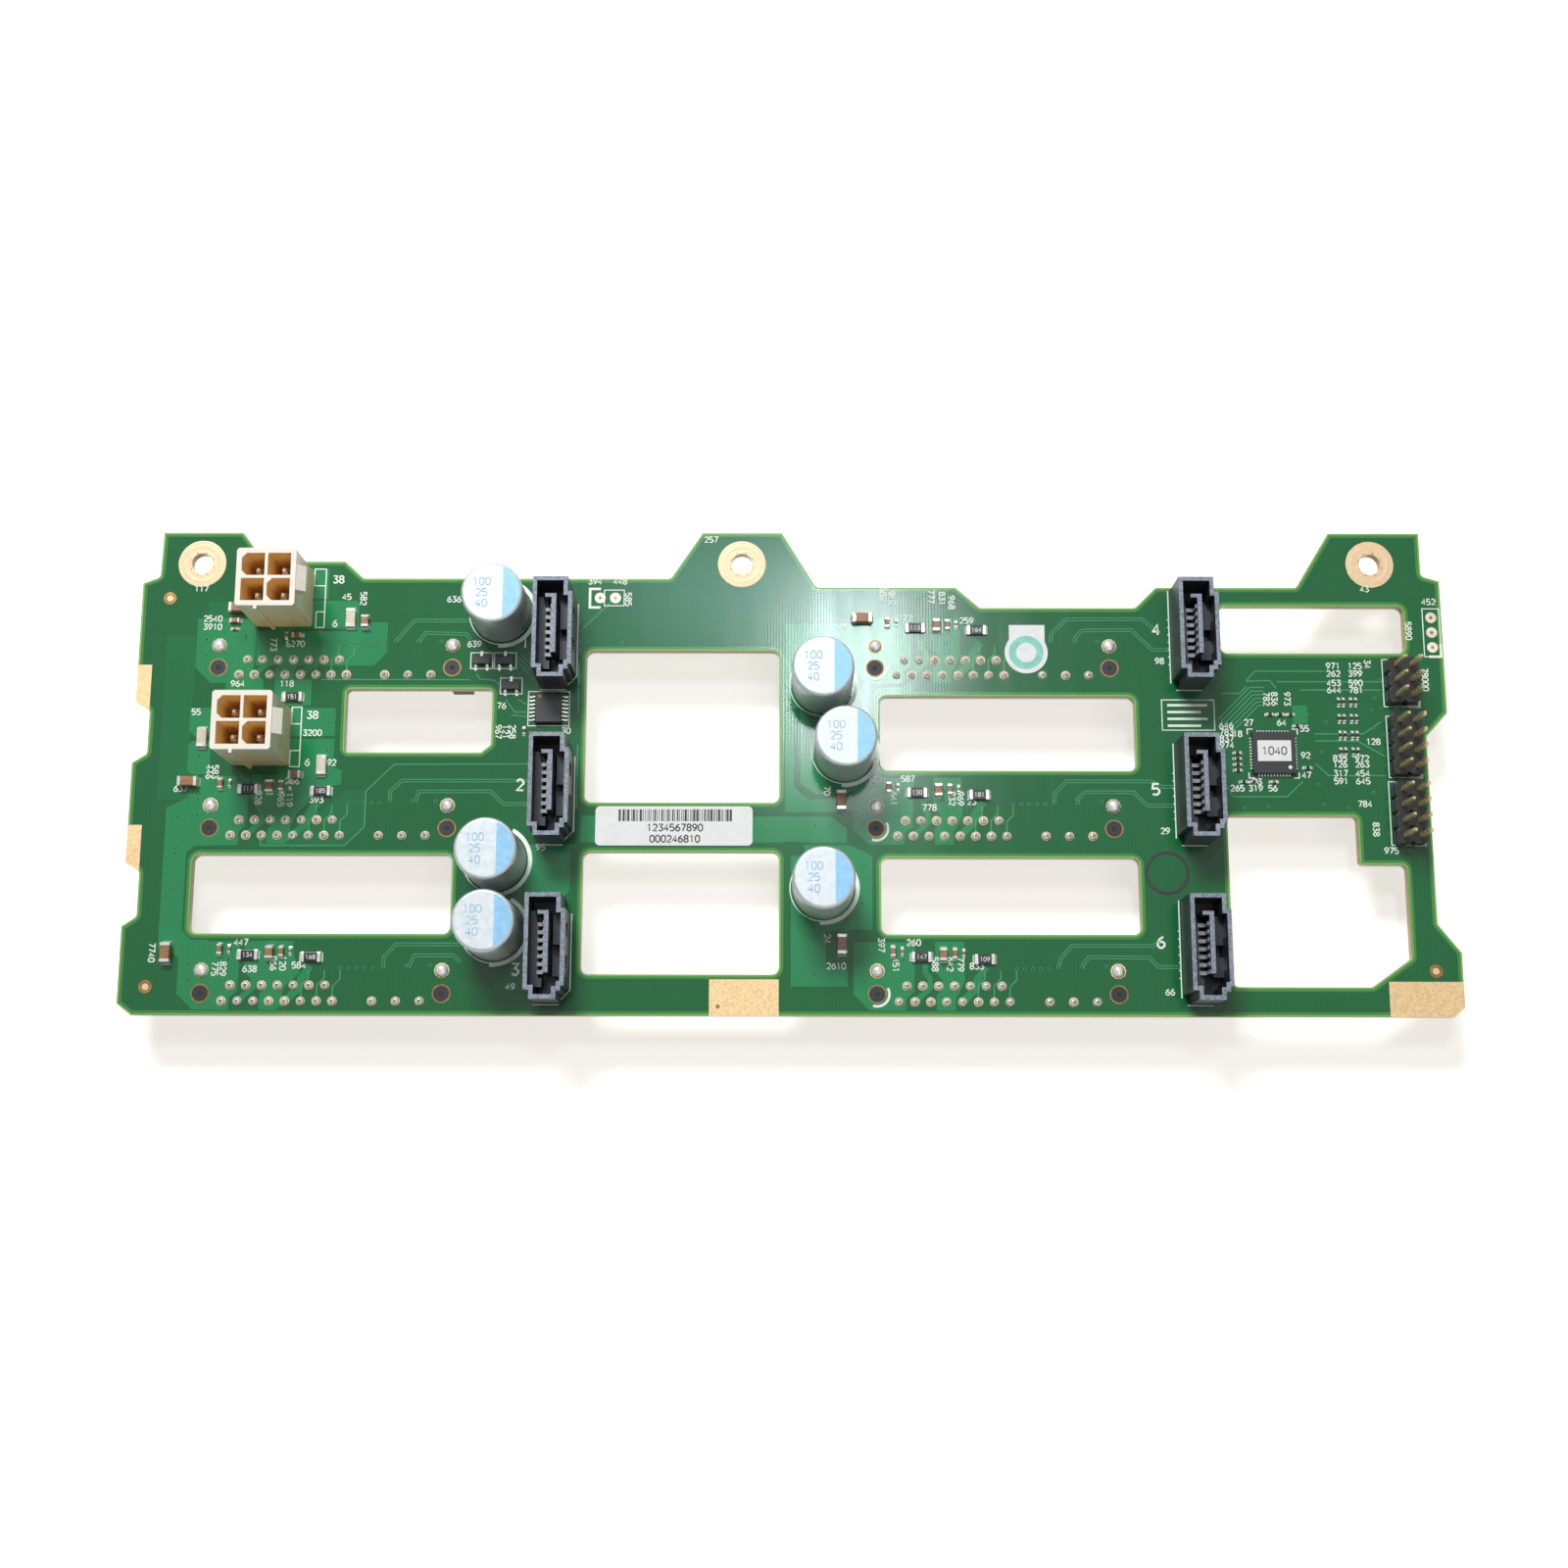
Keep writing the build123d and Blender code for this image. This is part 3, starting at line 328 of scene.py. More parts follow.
# Plain digits as pen strokes in a box 0.6 wide and 1 high
DIGITS = {
    "0": [[(0, 0.2), (0, 0.8), (0.2, 1), (0.4, 1), (0.6, 0.8), (0.6, 0.2), (0.4, 0), (0.2, 0), (0, 0.2)]],
    "1": [[(0.1, 0.8), (0.32, 1), (0.32, 0)]],
    "2": [[(0, 0.8), (0.2, 1), (0.4, 1), (0.6, 0.8), (0.6, 0.6), (0, 0), (0.6, 0)]],
    "3": [[(0, 1), (0.6, 1), (0.28, 0.6), (0.6, 0.36), (0.6, 0.2), (0.4, 0), (0.2, 0), (0, 0.15)]],
    "4": [[(0.44, 0), (0.44, 1), (0, 0.3), (0.6, 0.3)]],
    "5": [[(0.56, 1), (0.05, 1), (0, 0.56), (0.4, 0.6), (0.6, 0.42), (0.6, 0.2), (0.4, 0), (0, 0.04)]],
    "6": [[(0.5, 1), (0.15, 0.75), (0, 0.4), (0, 0.2), (0.2, 0), (0.4, 0), (0.6, 0.2), (0.6, 0.4),
           (0.4, 0.56), (0.05, 0.5)]],
    "7": [[(0, 1), (0.6, 1), (0.2, 0)]],
    "8": [[(0.18, 0.54), (0, 0.76), (0.16, 1), (0.44, 1), (0.6, 0.76), (0.42, 0.54), (0.18, 0.54)],
          [(0.18, 0.54), (0, 0.3), (0, 0.16), (0.2, 0), (0.4, 0), (0.6, 0.16), (0.6, 0.3), (0.42, 0.54)]],
    "9": [[(0.1, 0), (0.45, 0.25), (0.6, 0.6), (0.6, 0.8), (0.4, 1), (0.2, 1), (0, 0.8), (0, 0.6),
           (0.2, 0.44), (0.55, 0.5)]],
}
DIGIT_PITCH = 0.84
PLATE_STEP = 0.0003
PLATE_STEPS = 83


class Layer:
    """Flat closed plates of one material between two heights, which become one piece."""

    def __init__(self, low, high, under=False):
        self.low, self.high, self.under = low, high, under
        self.mesh = bmesh.new()
        self.plates = 0

    def next_levels(self):
        """The heights of the next plate, which differ a little so that none that cross share a plane."""
        self.plates += 1
        step = self.plates % PLATE_STEPS * PLATE_STEP
        return (self.low - step, self.high) if self.under else (self.low, self.high + step)

    def level(self, points, height):
        """Points as the mesh's corners at one height."""
        return [self.mesh.verts.new((x * MM, y * MM, height * MM)) for x, y in points]

    def area(self, outline):
        """A plate inside an outline."""
        turns = sum(a[0] * b[1] - b[0] * a[1] for a, b in zip(outline, outline[1:] + outline[:1]))
        if turns < 0:
            outline = outline[::-1]
        bottom, top = self.next_levels()
        low, high = self.level(outline, bottom), self.level(outline, top)
        self.mesh.faces.new(high)
        self.mesh.faces.new(low[::-1])
        for i in range(len(outline)):
            j = (i + 1) % len(outline)
            self.mesh.faces.new((low[i], low[j], high[j], high[i]))

    def band(self, left, right, closed=False):
        """A plate between two lines that run side by side."""
        bottom, top = self.next_levels()
        low_left, high_left = self.level(left, bottom), self.level(left, top)
        low_right, high_right = self.level(right, bottom), self.level(right, top)
        count = len(left)
        for i in range(count if closed else count - 1):
            j = (i + 1) % count
            self.mesh.faces.new((high_right[i], high_right[j], high_left[j], high_left[i]))
            self.mesh.faces.new((low_left[i], low_left[j], low_right[j], low_right[i]))
            self.mesh.faces.new((low_left[j], low_left[i], high_left[i], high_left[j]))
            self.mesh.faces.new((low_right[i], low_right[j], high_right[j], high_right[i]))
        if not closed:
            self.mesh.faces.new((low_left[0], low_right[0], high_right[0], high_left[0]))
            self.mesh.faces.new((low_right[-1], low_left[-1], high_left[-1], high_right[-1]))

    def line(self, points, width, closed=False):
        """A drawn line of some width."""
        self.band(offset_line(points, width / 2, closed), offset_line(points, -width / 2, closed), closed)

    def pair(self, points, gap, width):
        """Two drawn lines side by side."""
        for side in (gap / 2, -gap / 2):
            self.line(offset_line(points, side), width)

    def frame(self, left, bottom, right, top, width):
        """A drawn box."""
        self.line([(left, bottom), (right, bottom), (right, top), (left, top)], width, closed=True)

    def disc(self, x, y, radius, sides=24):
        """A round plate."""
        self.area(circle(x, y, radius, sides))

    def ring(self, x, y, outer, inner, sides=48, start=0.0, end=360.0):
        """A ring, or a part of one."""
        closed = end - start >= 360
        self.band(circle(x, y, inner, sides, start, end), circle(x, y, outer, sides, start, end), closed)

    def digits(self, x, y, text, height=0.9, upright=False, pen=0.19):
        """Digits centred on a place. Upright ones run down the board."""
        width = (len(text) - 1) * DIGIT_PITCH + 0.6
        for place, digit in enumerate(text):
            for stroke in DIGITS[digit]:
                drawn = []
                for across, rise in stroke:
                    across = (across + place * DIGIT_PITCH - width / 2) * height
                    rise = (rise - 0.5) * height
                    drawn.append((x + rise, y - across) if upright else (x + across, y + rise))
                self.line(drawn, pen * height)

    def piece(self, name, material, slot, *replaced):
        """The layer as one finished piece."""
        return finish_piece(name, self.mesh, material, slot, *replaced)


def mesh_data(name, mesh):
    """A bmesh as mesh data. The bmesh goes."""
    data = bpy.data.meshes.new(name)
    mesh.to_mesh(data)
    mesh.free()
    return data


def finish_piece(name, mesh, material, slot, *replaced):
    """Turns a bmesh into a piece that rides on the board."""
    data = mesh_data(name, mesh)
    data.materials.append(material)
    return seat_piece(name, data, slot, *replaced)


def seat_piece(name, data, slot, *replaced):
    """Links a finished mesh as a piece that rides on the board."""
    piece = linked(name, data)
    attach(piece, "root")
    if replaced:
        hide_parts(*replaced)
    return piece


def made_mesh(holder, name):
    """What an object's modifier makes of it, as mesh data. The object goes."""
    evaluated = holder.evaluated_get(bpy.context.evaluated_depsgraph_get())
    made = bpy.data.meshes.new_from_object(evaluated)
    made.name = name
    bpy.data.objects.remove(holder)
    return made


def merged_copy(node):
    """A CAD node's mesh as a closed bmesh."""
    mesh = bmesh.new()
    mesh.from_mesh(nodes[node].data)
    bmesh.ops.remove_doubles(mesh, verts=mesh.verts, dist=1e-6)
    return mesh


def islands(node):
    """The boxes, in millimetres, of a CAD node's separate solids, in a fixed order."""
    mesh = merged_copy(node)
    left = set(mesh.verts)
    boxes = []
    for start in mesh.verts:
        if start not in left:
            continue
        left.discard(start)
        group, grown = [start], [start]
        while grown:
            for edge in grown.pop().link_edges:
                for vert in edge.verts:
                    if vert in left:
                        left.discard(vert)
                        group.append(vert)
                        grown.append(vert)
        low = tuple(min(v.co[i] for v in group) / MM for i in range(3))
        high = tuple(max(v.co[i] for v in group) / MM for i in range(3))
        boxes.append((low, high))
    mesh.free()
    return sorted(boxes)


def middle(box):
    """The centre of a box."""
    return tuple((low + high) / 2 for low, high in zip(*box))


def extent(box):
    """The three sides of a box."""
    return tuple(high - low for low, high in zip(*box))


# What the Geometry Nodes trees grow
def start_tree(name, inputs):
    """An empty Geometry Nodes tree with named inputs, and its two ends."""
    tree = bpy.data.node_groups.new(name, "GeometryNodeTree")
    tree.is_modifier = True
    tree.interface.new_socket("Geometry", in_out="INPUT", socket_type="NodeSocketGeometry")
    for label, kind, value in inputs:
        socket = tree.interface.new_socket(label, in_out="INPUT", socket_type=kind)
        if value is not None:
            socket.default_value = value
    tree.interface.new_socket("Geometry", in_out="OUTPUT", socket_type="NodeSocketGeometry")
    return tree, tree.nodes.new("NodeGroupInput"), tree.nodes.new("NodeGroupOutput")


def spread_out(tree, start, end, shape):
    """Puts a shape at every point, sized and turned by the point, and makes it real."""
    size = node_in(tree, "GeometryNodeInputNamedAttribute", {"Name": "size"}, data_type="FLOAT_VECTOR")
    turn = node_in(tree, "GeometryNodeInputNamedAttribute", {"Name": "turn"}, data_type="FLOAT_VECTOR")
    # The float sockets of Random Value are the second pair
    chance = node_in(tree, "FunctionNodeRandomValue", {
        2: start.outputs["Smallest"], 3: start.outputs["Largest"],
        "Seed": start.outputs["Seed"]}, data_type="FLOAT")
    scaled = node_in(tree, "ShaderNodeVectorMath", {
        0: size.outputs[0], "Scale": chance.outputs[1]}, operation="SCALE")
    placed = node_in(tree, "GeometryNodeInstanceOnPoints", {
        "Points": start.outputs["Geometry"], "Instance": shape, "Rotation": turn.outputs[0],
        "Scale": scaled.outputs[0]})
    real = node_in(tree, "GeometryNodeRealizeInstances", {"Geometry": placed.outputs[0]})
    dressed = node_in(tree, "GeometryNodeSetMaterial", {
        "Geometry": real.outputs[0], "Material": start.outputs["Material"]})
    tree.links.new(dressed.outputs[0], end.inputs[0])


COMMON_INPUTS = [
    ("Smallest", "NodeSocketFloat", 0.96), ("Largest", "NodeSocketFloat", 1.04),
    ("Seed", "NodeSocketInt", 3), ("Material", "NodeSocketMaterial", None),
]


def dome_tree():
    """A drop of solder: a smooth dome with a flat foot."""
    tree, start, end = start_tree("solder_drops", [
        ("Sides", "NodeSocketInt", 14), ("Rings", "NodeSocketInt", 8)] + COMMON_INPUTS)
    ball = node_in(tree, "GeometryNodeMeshUVSphere", {
        "Segments": start.outputs["Sides"], "Rings": start.outputs["Rings"], "Radius": 1.0})
    place = node_in(tree, "GeometryNodeInputPosition")
    parts = node_in(tree, "ShaderNodeSeparateXYZ", {0: place.outputs[0]})
    raised = node_in(tree, "ShaderNodeMath", {0: parts.outputs[2], 1: -0.02}, operation="MAXIMUM")
    foot = node_in(tree, "ShaderNodeCombineXYZ", {
        0: parts.outputs[0], 1: parts.outputs[1], 2: raised.outputs[0]})
    flat = node_in(tree, "GeometryNodeSetPosition", {
        "Geometry": ball.outputs[0], "Position": foot.outputs[0]})
    smooth = node_in(tree, "GeometryNodeSetShadeSmooth", {"Geometry": flat.outputs[0]})
    spread_out(tree, start, end, smooth.outputs[0])
    return tree


def shape_tree():
    """Any small shape, repeated."""
    tree, start, end = start_tree("repeated_shapes", [("Shape", "NodeSocketObject", None)] + COMMON_INPUTS)
    shape = node_in(tree, "GeometryNodeObjectInfo", {"Object": start.outputs["Shape"]})
    spread_out(tree, start, end, shape.outputs["Geometry"])
    return tree


def grow(name, tree, points, material, slot, *replaced, **inputs):
    """Grows a tree at points, each a place, a size and a turn about Z, into one finished piece.

    A height below zero turns the shape over, so that it grows down.
    """
    data = bpy.data.meshes.new(name)
    data.from_pydata([Vector(place) * MM for place, _, _ in points], [], [])
    size = data.attributes.new("size", "FLOAT_VECTOR", "POINT")
    turn = data.attributes.new("turn", "FLOAT_VECTOR", "POINT")
    for i, (_, sides, angle) in enumerate(points):
        size.data[i].vector = (sides[0] * MM, sides[1] * MM, abs(sides[2]) * MM)
        turn.data[i].vector = (math.pi if sides[2] < 0 else 0, 0, math.radians(angle))
    holder = linked(name + "_points", data)
    modifier = holder.modifiers.new("grow", "NODES")
    modifier.node_group = tree
    inputs["Material"] = material
    for socket in tree.interface.items_tree:
        if socket.in_out == "INPUT" and socket.name in inputs:
            modifier[socket.identifier] = inputs[socket.name]
    return seat_piece(name, made_mesh(holder, name), slot, *replaced)


def shape_object(name, mesh):
    """A small shape, one unit in size, for a tree to repeat. It is no piece."""
    bmesh.ops.recalc_face_normals(mesh, faces=mesh.faces)
    made = linked(name, mesh_data(name, mesh))
    helpers.append(made)
    return made


def turned(mesh, profile, sides, x=0.0, y=0.0, z=0.0, unit=1.0):
    """A closed turned solid from (radius, height) steps that begin and end on the axis."""
    rings = []
    for radius, height in profile:
        if radius == 0:
            rings.append([mesh.verts.new((x * unit, y * unit, (z + height) * unit))])
        else:
            rings.append([mesh.verts.new((px * unit, py * unit, (z + height) * unit))
                          for px, py in circle(x, y, radius, sides)])
    for upper, lower in zip(rings, rings[1:]):
        for i in range(sides):
            j = (i + 1) % sides
            corners = (upper[i % len(upper)], lower[i % len(lower)],
                       lower[j % len(lower)], upper[j % len(upper)])
            # The axis has one corner, so faces there are triangles
            mesh.faces.new(dict.fromkeys(corners))


def block_shape(name, edge):
    """A unit block with broken edges."""
    mesh = bmesh.new()
    bmesh.ops.create_cube(mesh, size=1.0)
    bmesh.ops.bevel(mesh, geom=mesh.edges[:], offset=edge, segments=1, affect="EDGES")
    return shape_object(name, mesh)


def turned_shape(name, profile, sides):
    """A unit turned shape."""
    mesh = bmesh.new()
    turned(mesh, profile, sides)
    return shape_object(name, mesh)


def joined(mesh, first, last, count):
    """Walls between two outlines with as many corners."""
    for i in range(count):
        j = (i + 1) % count
        mesh.faces.new((first[i], first[j], last[j], last[i]))


def fillet_shape():
    """A unit fillet of solder: high at x 0, thin at x 1, and as wide as it is high."""
    mesh = bmesh.new()
    section = ((0, 0), (1, 0), (0.6, 0.18), (0.25, 0.5), (0, 1))
    near, far = ([mesh.verts.new((x, y, z)) for x, z in section] for y in (-0.5, 0.5))
    mesh.faces.new(near)
    mesh.faces.new(far[::-1])
    joined(mesh, near, far, len(section))
    return shape_object("fillet", mesh)


def square_pin_shape():
    """A unit square pin whose tip is coined to a blunt point."""
    mesh = bmesh.new()
    levels = []
    for half, height in ((0.5, 0.0), (0.5, 0.93), (0.3, 1.0)):
        corners = ((-half, -half), (half, -half), (half, half), (-half, half))
        levels.append([mesh.verts.new((x, y, height)) for x, y in corners])
    mesh.faces.new(levels[0][::-1])
    mesh.faces.new(levels[-1])
    for lower, upper in zip(levels, levels[1:]):
        joined(mesh, lower, upper, 4)
    return shape_object("square_pin", mesh)


helpers = []
drops = dome_tree()
repeats = shape_tree()
block = block_shape("block", 0.07)
fillet = fillet_shape()
square_pin = square_pin_shape()
pin_stub = turned_shape("pin_stub", [(0, 1), (0.35, 1), (0.5, 0.8), (0.5, 0), (0, 0)], 8)
via_eye = turned_shape("via_eye", [(0, 1), (0.5, 1), (0.5, 0), (0, 0)], 10)

# Heights of the thin layers: they start inside the board and end a little above its upper face
SUNK = BOARD_TOP - 0.02
BURIED_TOP = BOARD_TOP + 0.004
COPPER_TOP = BOARD_TOP + 0.01
RIM_TOP = BOARD_TOP + 0.03
GAP_TOP = COPPER_TOP + 0.026
EDGE_TOP = BOARD_TOP + 0.037
TRACE_TOP = BOARD_TOP + 0.042
HOLLOW_TOP = BOARD_TOP + 0.045
LAND_TOP = BOARD_TOP + 0.06
SILK_TOP = BOARD_TOP + 0.07
DENT_TOP = BOARD_TOP + 0.075
EYE_TOP = BOARD_TOP + 0.1

# Copper under the mask, drawn as the photograph shows it. The bays repeat one drawing, placed by
# their first pins.
LEFT_BAY, RIGHT_BAY = -91.2, 17.47
BAY_ROWS = (-38.05, -11.10, 15.85)
BAYS = [(x, y) for x in (LEFT_BAY, RIGHT_BAY) for y in BAY_ROWS]
POSTS = [(-3.51, 1.23), (35.23, 1.23)]
TRACE_WIDTH = 0.2

BAY_AREAS = [
    [(-7.3, 9.6), (-7.3, 1.2), (-4.7, -1.4), (1.1, -1.4), (1.2, 0.5), (2.4, 1.6), (2.6, 6.2), (2.6, 9.6)],
    [(5.9, 9.7), (10.5, 9.7), (10.5, 8.1), (10.6, 3.4), (10, 2.1), (9.1, 0.6), (9.1, -1.2), (8.9, -1.4),
     (6.2, -1.4), (6, -1.2), (6, 1.1), (7, 2.1), (7, 3.4), (5.9, 4.8)],
]
BAY_FINGERS = [
    ([(4.3, 6.2), (4.2, 4.8), (4.95, 3.8), (4.95, 2.2), (2.54, 0)], 0.9),
    ([(14, 5.6), (12.6, 3.6), (12.4, 2.2), (10.16, 0)], 1.2),
]
AREAS = [
    [(-84, 34.2), (-77.3, 34.2), (-77, 33.9), (-77, 28.9), (-84, 28.9)],
    [(-84, 28.5), (-72.2, 28.5), (-71.8, 28.1), (-71.8, 23.7), (-84, 23.7)],
    [(-88.5, 23.3), (-72.6, 23.3), (-70.6, 24.8), (-66.9, 24.8), (-66.9, 19.7), (-68.9, 17.4),
     (-88.5, 17.4)],
    [(-92.8, 22.9), (-88.9, 22.9), (-88.9, 16.6), (-87.1, 14.9), (-87.1, 12), (-93.3, 12), (-93.3, 15.2),
     (-92.8, 15.2)],
    [(-85.2, 15), (-79.1, 15), (-79.1, 10.6), (-85.2, 10.6)],
    [(-84, 10.2), (-75.2, 10.2), (-74.9, 9.9), (-74.9, 5.5), (-84, 5.5)],
    [(-84, 5), (-74.9, 5), (-74.9, 0.2), (-73.5, -0.3), (-73.5, -2.6), (-75.5, -3), (-78.4, -3),
     (-78.6, -5.5), (-81.5, -8.5), (-81.5, -12), (-84.8, -12), (-84.8, -8.5), (-87.7, -6), (-88.2, -4.5),
     (-88.2, -1), (-84, -1)],
    [(-98.9, 10.2), (-95.2, 10.2), (-95.2, 5.4), (-98, 5.4), (-98.9, 6.3)],
    [(-98.3, 4.6), (-95.2, 4.6), (-95.2, -1), (-98.2, -1), (-98.9, -0.2), (-98.9, 4)],
    [(-96, -1.2), (-89.8, -1.3), (-89.8, -5), (-88.6, -6.5), (-88.6, -8.6), (-89.9, -10.2),
     (-89.9, -12.7), (-97, -12.9), (-98.2, -14), (-98.2, -26.6), (-96.7, -28.2), (-93.8, -28.2),
     (-93.3, -28.8), (-93.3, -31.3), (-98.4, -31.3), (-100, -29.8), (-101.9, -29.8), (-101.9, -6.5),
     (-100.7, -6), (-96, -3.4)],
    [(-88, -28.4), (-80, -28.4), (-79.9, -30.6), (-78.8, -33.5), (-81.5, -36), (-81.5, -39), (-84.8, -39),
     (-84.8, -36), (-87.7, -33.5)],
    [(-34, -7.8), (6.6, -7.9), (9.2, -9.8), (9.2, -12.2), (-34.4, -12.2)],
    [(-43, -12.6), (-34.9, -12.5), (-35.7, -13.3), (-35.7, -20.1), (-36.7, -21.2), (-43, -21.2)],
    [(2.3, -13.3), (1.4, -12.6), (9.5, -12.6), (12.4, -13.8), (13.3, -14.6), (13.3, -26.4), (2.3, -26.4)],
    [(0.1, -14.4), (9.2, -14.4), (9.2, -26.6), (5.7, -26.6), (5.7, -32.5), (9.2, -32.5), (9.2, -35.6),
     (0.1, -35.6)],
    [(-0.9, 24.6), (10.2, 24.6), (10.2, 15.2), (12.4, 12.8), (12.4, -2.4), (9.2, -4), (4.2, -4.2),
     (1.6, -2.4), (1.6, 10.2), (-0.9, 10.2)],
    [(-0.9, 9.7), (0.6, 9.7), (0.6, -3), (3.2, -5.2), (9, -4.8), (13, -3), (14, -1.6), (14, -6),
     (7.4, -7.2), (-0.9, -7.2)],
    [(13.4, 12.2), (13.4, 13), (15.1, 13.8), (18.6, 13.8), (20, 15), (20, 12.9), (15, 12.9)],
    [(82.6, 10.8), (85, 10.8), (85, 7.7), (82.6, 7.7)],
]
MIDDLE_AREAS = [
    [(-96.8, 28.4), (-91.5, 28.4), (-91.5, 23.2), (-96.8, 23.2)],
    [(-103.5, 22.5), (-98.6, 22.5), (-98.6, -5.2), (-103.5, -5.2)],
    [(-86.2, -12.8), (-72.5, -12.8), (-69.4, -9.7), (-69.4, -3.8), (-72.8, -3.6), (-78, -8.4),
     (-81, -10.7), (-86.2, -10.9)],
]
PAIRS = [
    [(-65.5, 21.5), (-62.5, 25.1), (-52, 25.1)], [(-61.6, 21.4), (-60.6, 23), (-53.8, 22.8), (-53, 21.9)],
    [(-65.4, -5.5), (-65.4, -3.8), (-63.5, -2), (-43, -2)],
    [(-61.2, -5.6), (-60.7, -3.8), (-49, -3.8), (-46.8, -5.9), (-43, -5.9)],
    [(-65.4, -32.7), (-65.4, -31), (-63.5, -28.9), (-53, -28.9)],
    [(-61.4, -32.7), (-60.5, -30.7), (-54.2, -30.7), (-53, -31.8)],
    [(43.1, 21.4), (43.2, 22.9), (45.7, 25.4), (58.3, 25.5), (60.4, 23.6)],
    [(47.1, 21.4), (47.2, 22.3), (48.3, 23.5), (56.5, 23.6), (59.9, 20.2), (62.7, 20.2)],
    [(43.1, -5.9), (43.1, -4.2), (45.1, -2), (59, -2), (60.8, -2.9), (62.6, -2.9)],
    [(46.9, -5.9), (46.9, -4.9), (48.1, -3.8), (56, -3.8), (58.2, -6), (62.6, -6)],
    [(43.1, -32.7), (43.5, -31), (45.3, -29), (58.4, -29), (59.6, -28.1)],
    [(46.9, -32.7), (47.2, -31.8), (48.1, -30.8), (57.8, -30.9), (59.1, -32.4), (62.6, -32.4)],
]
TRACES = [
    [(75.2, 15), (76.7, 16.6), (88.2, 16.6)], [(75.2, 14.9), (79.1, 15), (80, 13.7)],
    [(80.2, 14.8), (97.6, 14.8)], [(84, 13.4), (97.4, 13.4)],
    [(70.8, -2), (72.3, -4.5), (81.1, -4.5), (83.7, -2)], [(-45.5, 18.4), (-42.3, 15)],
    [(-45.1, 18.9), (-41.8, 15.5)], [(-44.6, 19.3), (-41.3, 16)],
    [(-51.9, 16), (-51.3, 15.1), (-48.9, 14.9), (-47.4, 13.6)], [(-47, 11.7), (-45.4, 9.5), (-43.5, 9.5)],
    [(-45, 11.7), (-43.5, 10.8)], [(-46, 9), (-43.5, 8.8)], [(-30, 28.2), (-35, 23.2)],
    [(-35, 18), (-35, 9.3)], [(-34.9, 4), (-34.9, -6.8)],
    [(-86.2, -10.7), (-86.2, -12.8), (-72.5, -12.8), (-69.4, -9.7), (-69.4, -3.8), (-64.9, 0.7),
     (-43, 0.8)],
    [(-77.5, 15), (-53, 15)], [(86, 6), (94, 6), (97, 8)], [(86, 4.8), (93, 4.8), (97.4, 2.2)],
    [(86, 1), (88, -1), (97.4, -1)], [(71, 12.8), (74, 12.8), (75.2, 14)],
]
BUNDLE = [(71.2, 7.6), (76.2, 12.6), (78, 12.6)]
BUNDLE_COUNT = 6
BUNDLE_STEP = 0.62
PAIR_GAP = 0.42
PAIR_WIDTH = 0.15
GAP_WIDTH = 0.35
DARK_LINES = [
    [(12.9, 7.7), (12.9, 12.5), (14.9, 14.3), (18.3, 14.3), (20, 15.5)],
    [(1.1, 9.9), (1.1, -2.7), (3.5, -4.6)], [(-1, -12.2), (1.4, -12.2), (2.3, -13.3)],
]


def shifted(points, x, y):
    """A drawing moved to its place."""
    return [(px + x, py + y) for px, py in points]


copper = Layer(SUNK, COPPER_TOP)
middle_copper = Layer(SUNK, BURIED_TOP)
traces = Layer(SUNK, TRACE_TOP)
for bay in BAYS:
    for outline in BAY_AREAS:
        copper.area(shifted(outline, *bay))
    for line, width in BAY_FINGERS:
        copper.line(shifted(line, *bay), width)
    for x, drop in ((12.7, 2.6), (15.24, 2.6), (17.78, 2.4)):
        line = [(x, 0), (x, drop), (x + 1.1, drop + 1.1), (x + 1.1, 5.0)]
        traces.line(shifted(line, *bay), TRACE_WIDTH)
for outline in AREAS:
    copper.area(outline)
for outline in MIDDLE_AREAS:
    middle_copper.area(outline)
for line in PAIRS:
    traces.pair(line, PAIR_GAP, PAIR_WIDTH)
for line in TRACES:
    traces.line(line, TRACE_WIDTH)
for i in range(BUNDLE_COUNT):
    traces.line(offset_line(BUNDLE, (i - BUNDLE_COUNT / 2) * BUNDLE_STEP), TRACE_WIDTH)
copper.piece("copper_areas", pour_green, "board")
middle_copper.piece("buried_copper", middle_green, "board")
traces.piece("copper_tracks", trace_green, "board")
gaps = Layer(SUNK, GAP_TOP)
for line in DARK_LINES:
    gaps.line(line, GAP_WIDTH)
gaps.piece("copper_gaps", mask_green, "board")


# Bare glass along the board's edges and windows
def edge_loops():
    """The outlines of the board's upper face, with the board on their left, in millimetres."""
    mesh = merged_copy("circuit_board")
    following = {}
    for face in mesh.faces:
        if face.normal.z < 0.9 or min(v.co.z for v in face.verts) < (BOARD_TOP - 0.01) * MM:
            continue
        for loop in face.loops:
            if all(other.normal.z < 0.9 for other in loop.edge.link_faces if other is not face):
                following[loop.vert] = loop.link_loop_next.vert
    loops = []
    while following:
        start = next(iter(following))
        outline, vert = [], start
        while vert in following:
            outline.append((vert.co.x / MM, vert.co.y / MM))
            vert = following.pop(vert)
        loops.append(outline)
    mesh.free()
    return loops


def outline_length(outline):
    """The length of a closed outline."""
    return sum(math.dist(a, b) for a, b in zip(outline, outline[1:] + outline[:1]))


# Screw holes and post holes have shorter outlines than the windows
LONGEST_HOLE = 30.0
EDGES = [outline for outline in edge_loops() if outline_length(outline) > LONGEST_HOLE]
bright_edge = Layer(SUNK, EDGE_TOP)
thin_edge = Layer(SUNK, EDGE_TOP)
for outline in EDGES:
    rim, inner, outer = (offset_line(outline, reach, True) for reach in (0.04, 0.3, 0.75))
    bright_edge.band(inner, rim, True)
    thin_edge.band(outer, inner, True)
bright_edge.piece("glass_edges", bare_glass, "board")
thin_edge.piece("thin_mask_edges", thin_mask, "board")

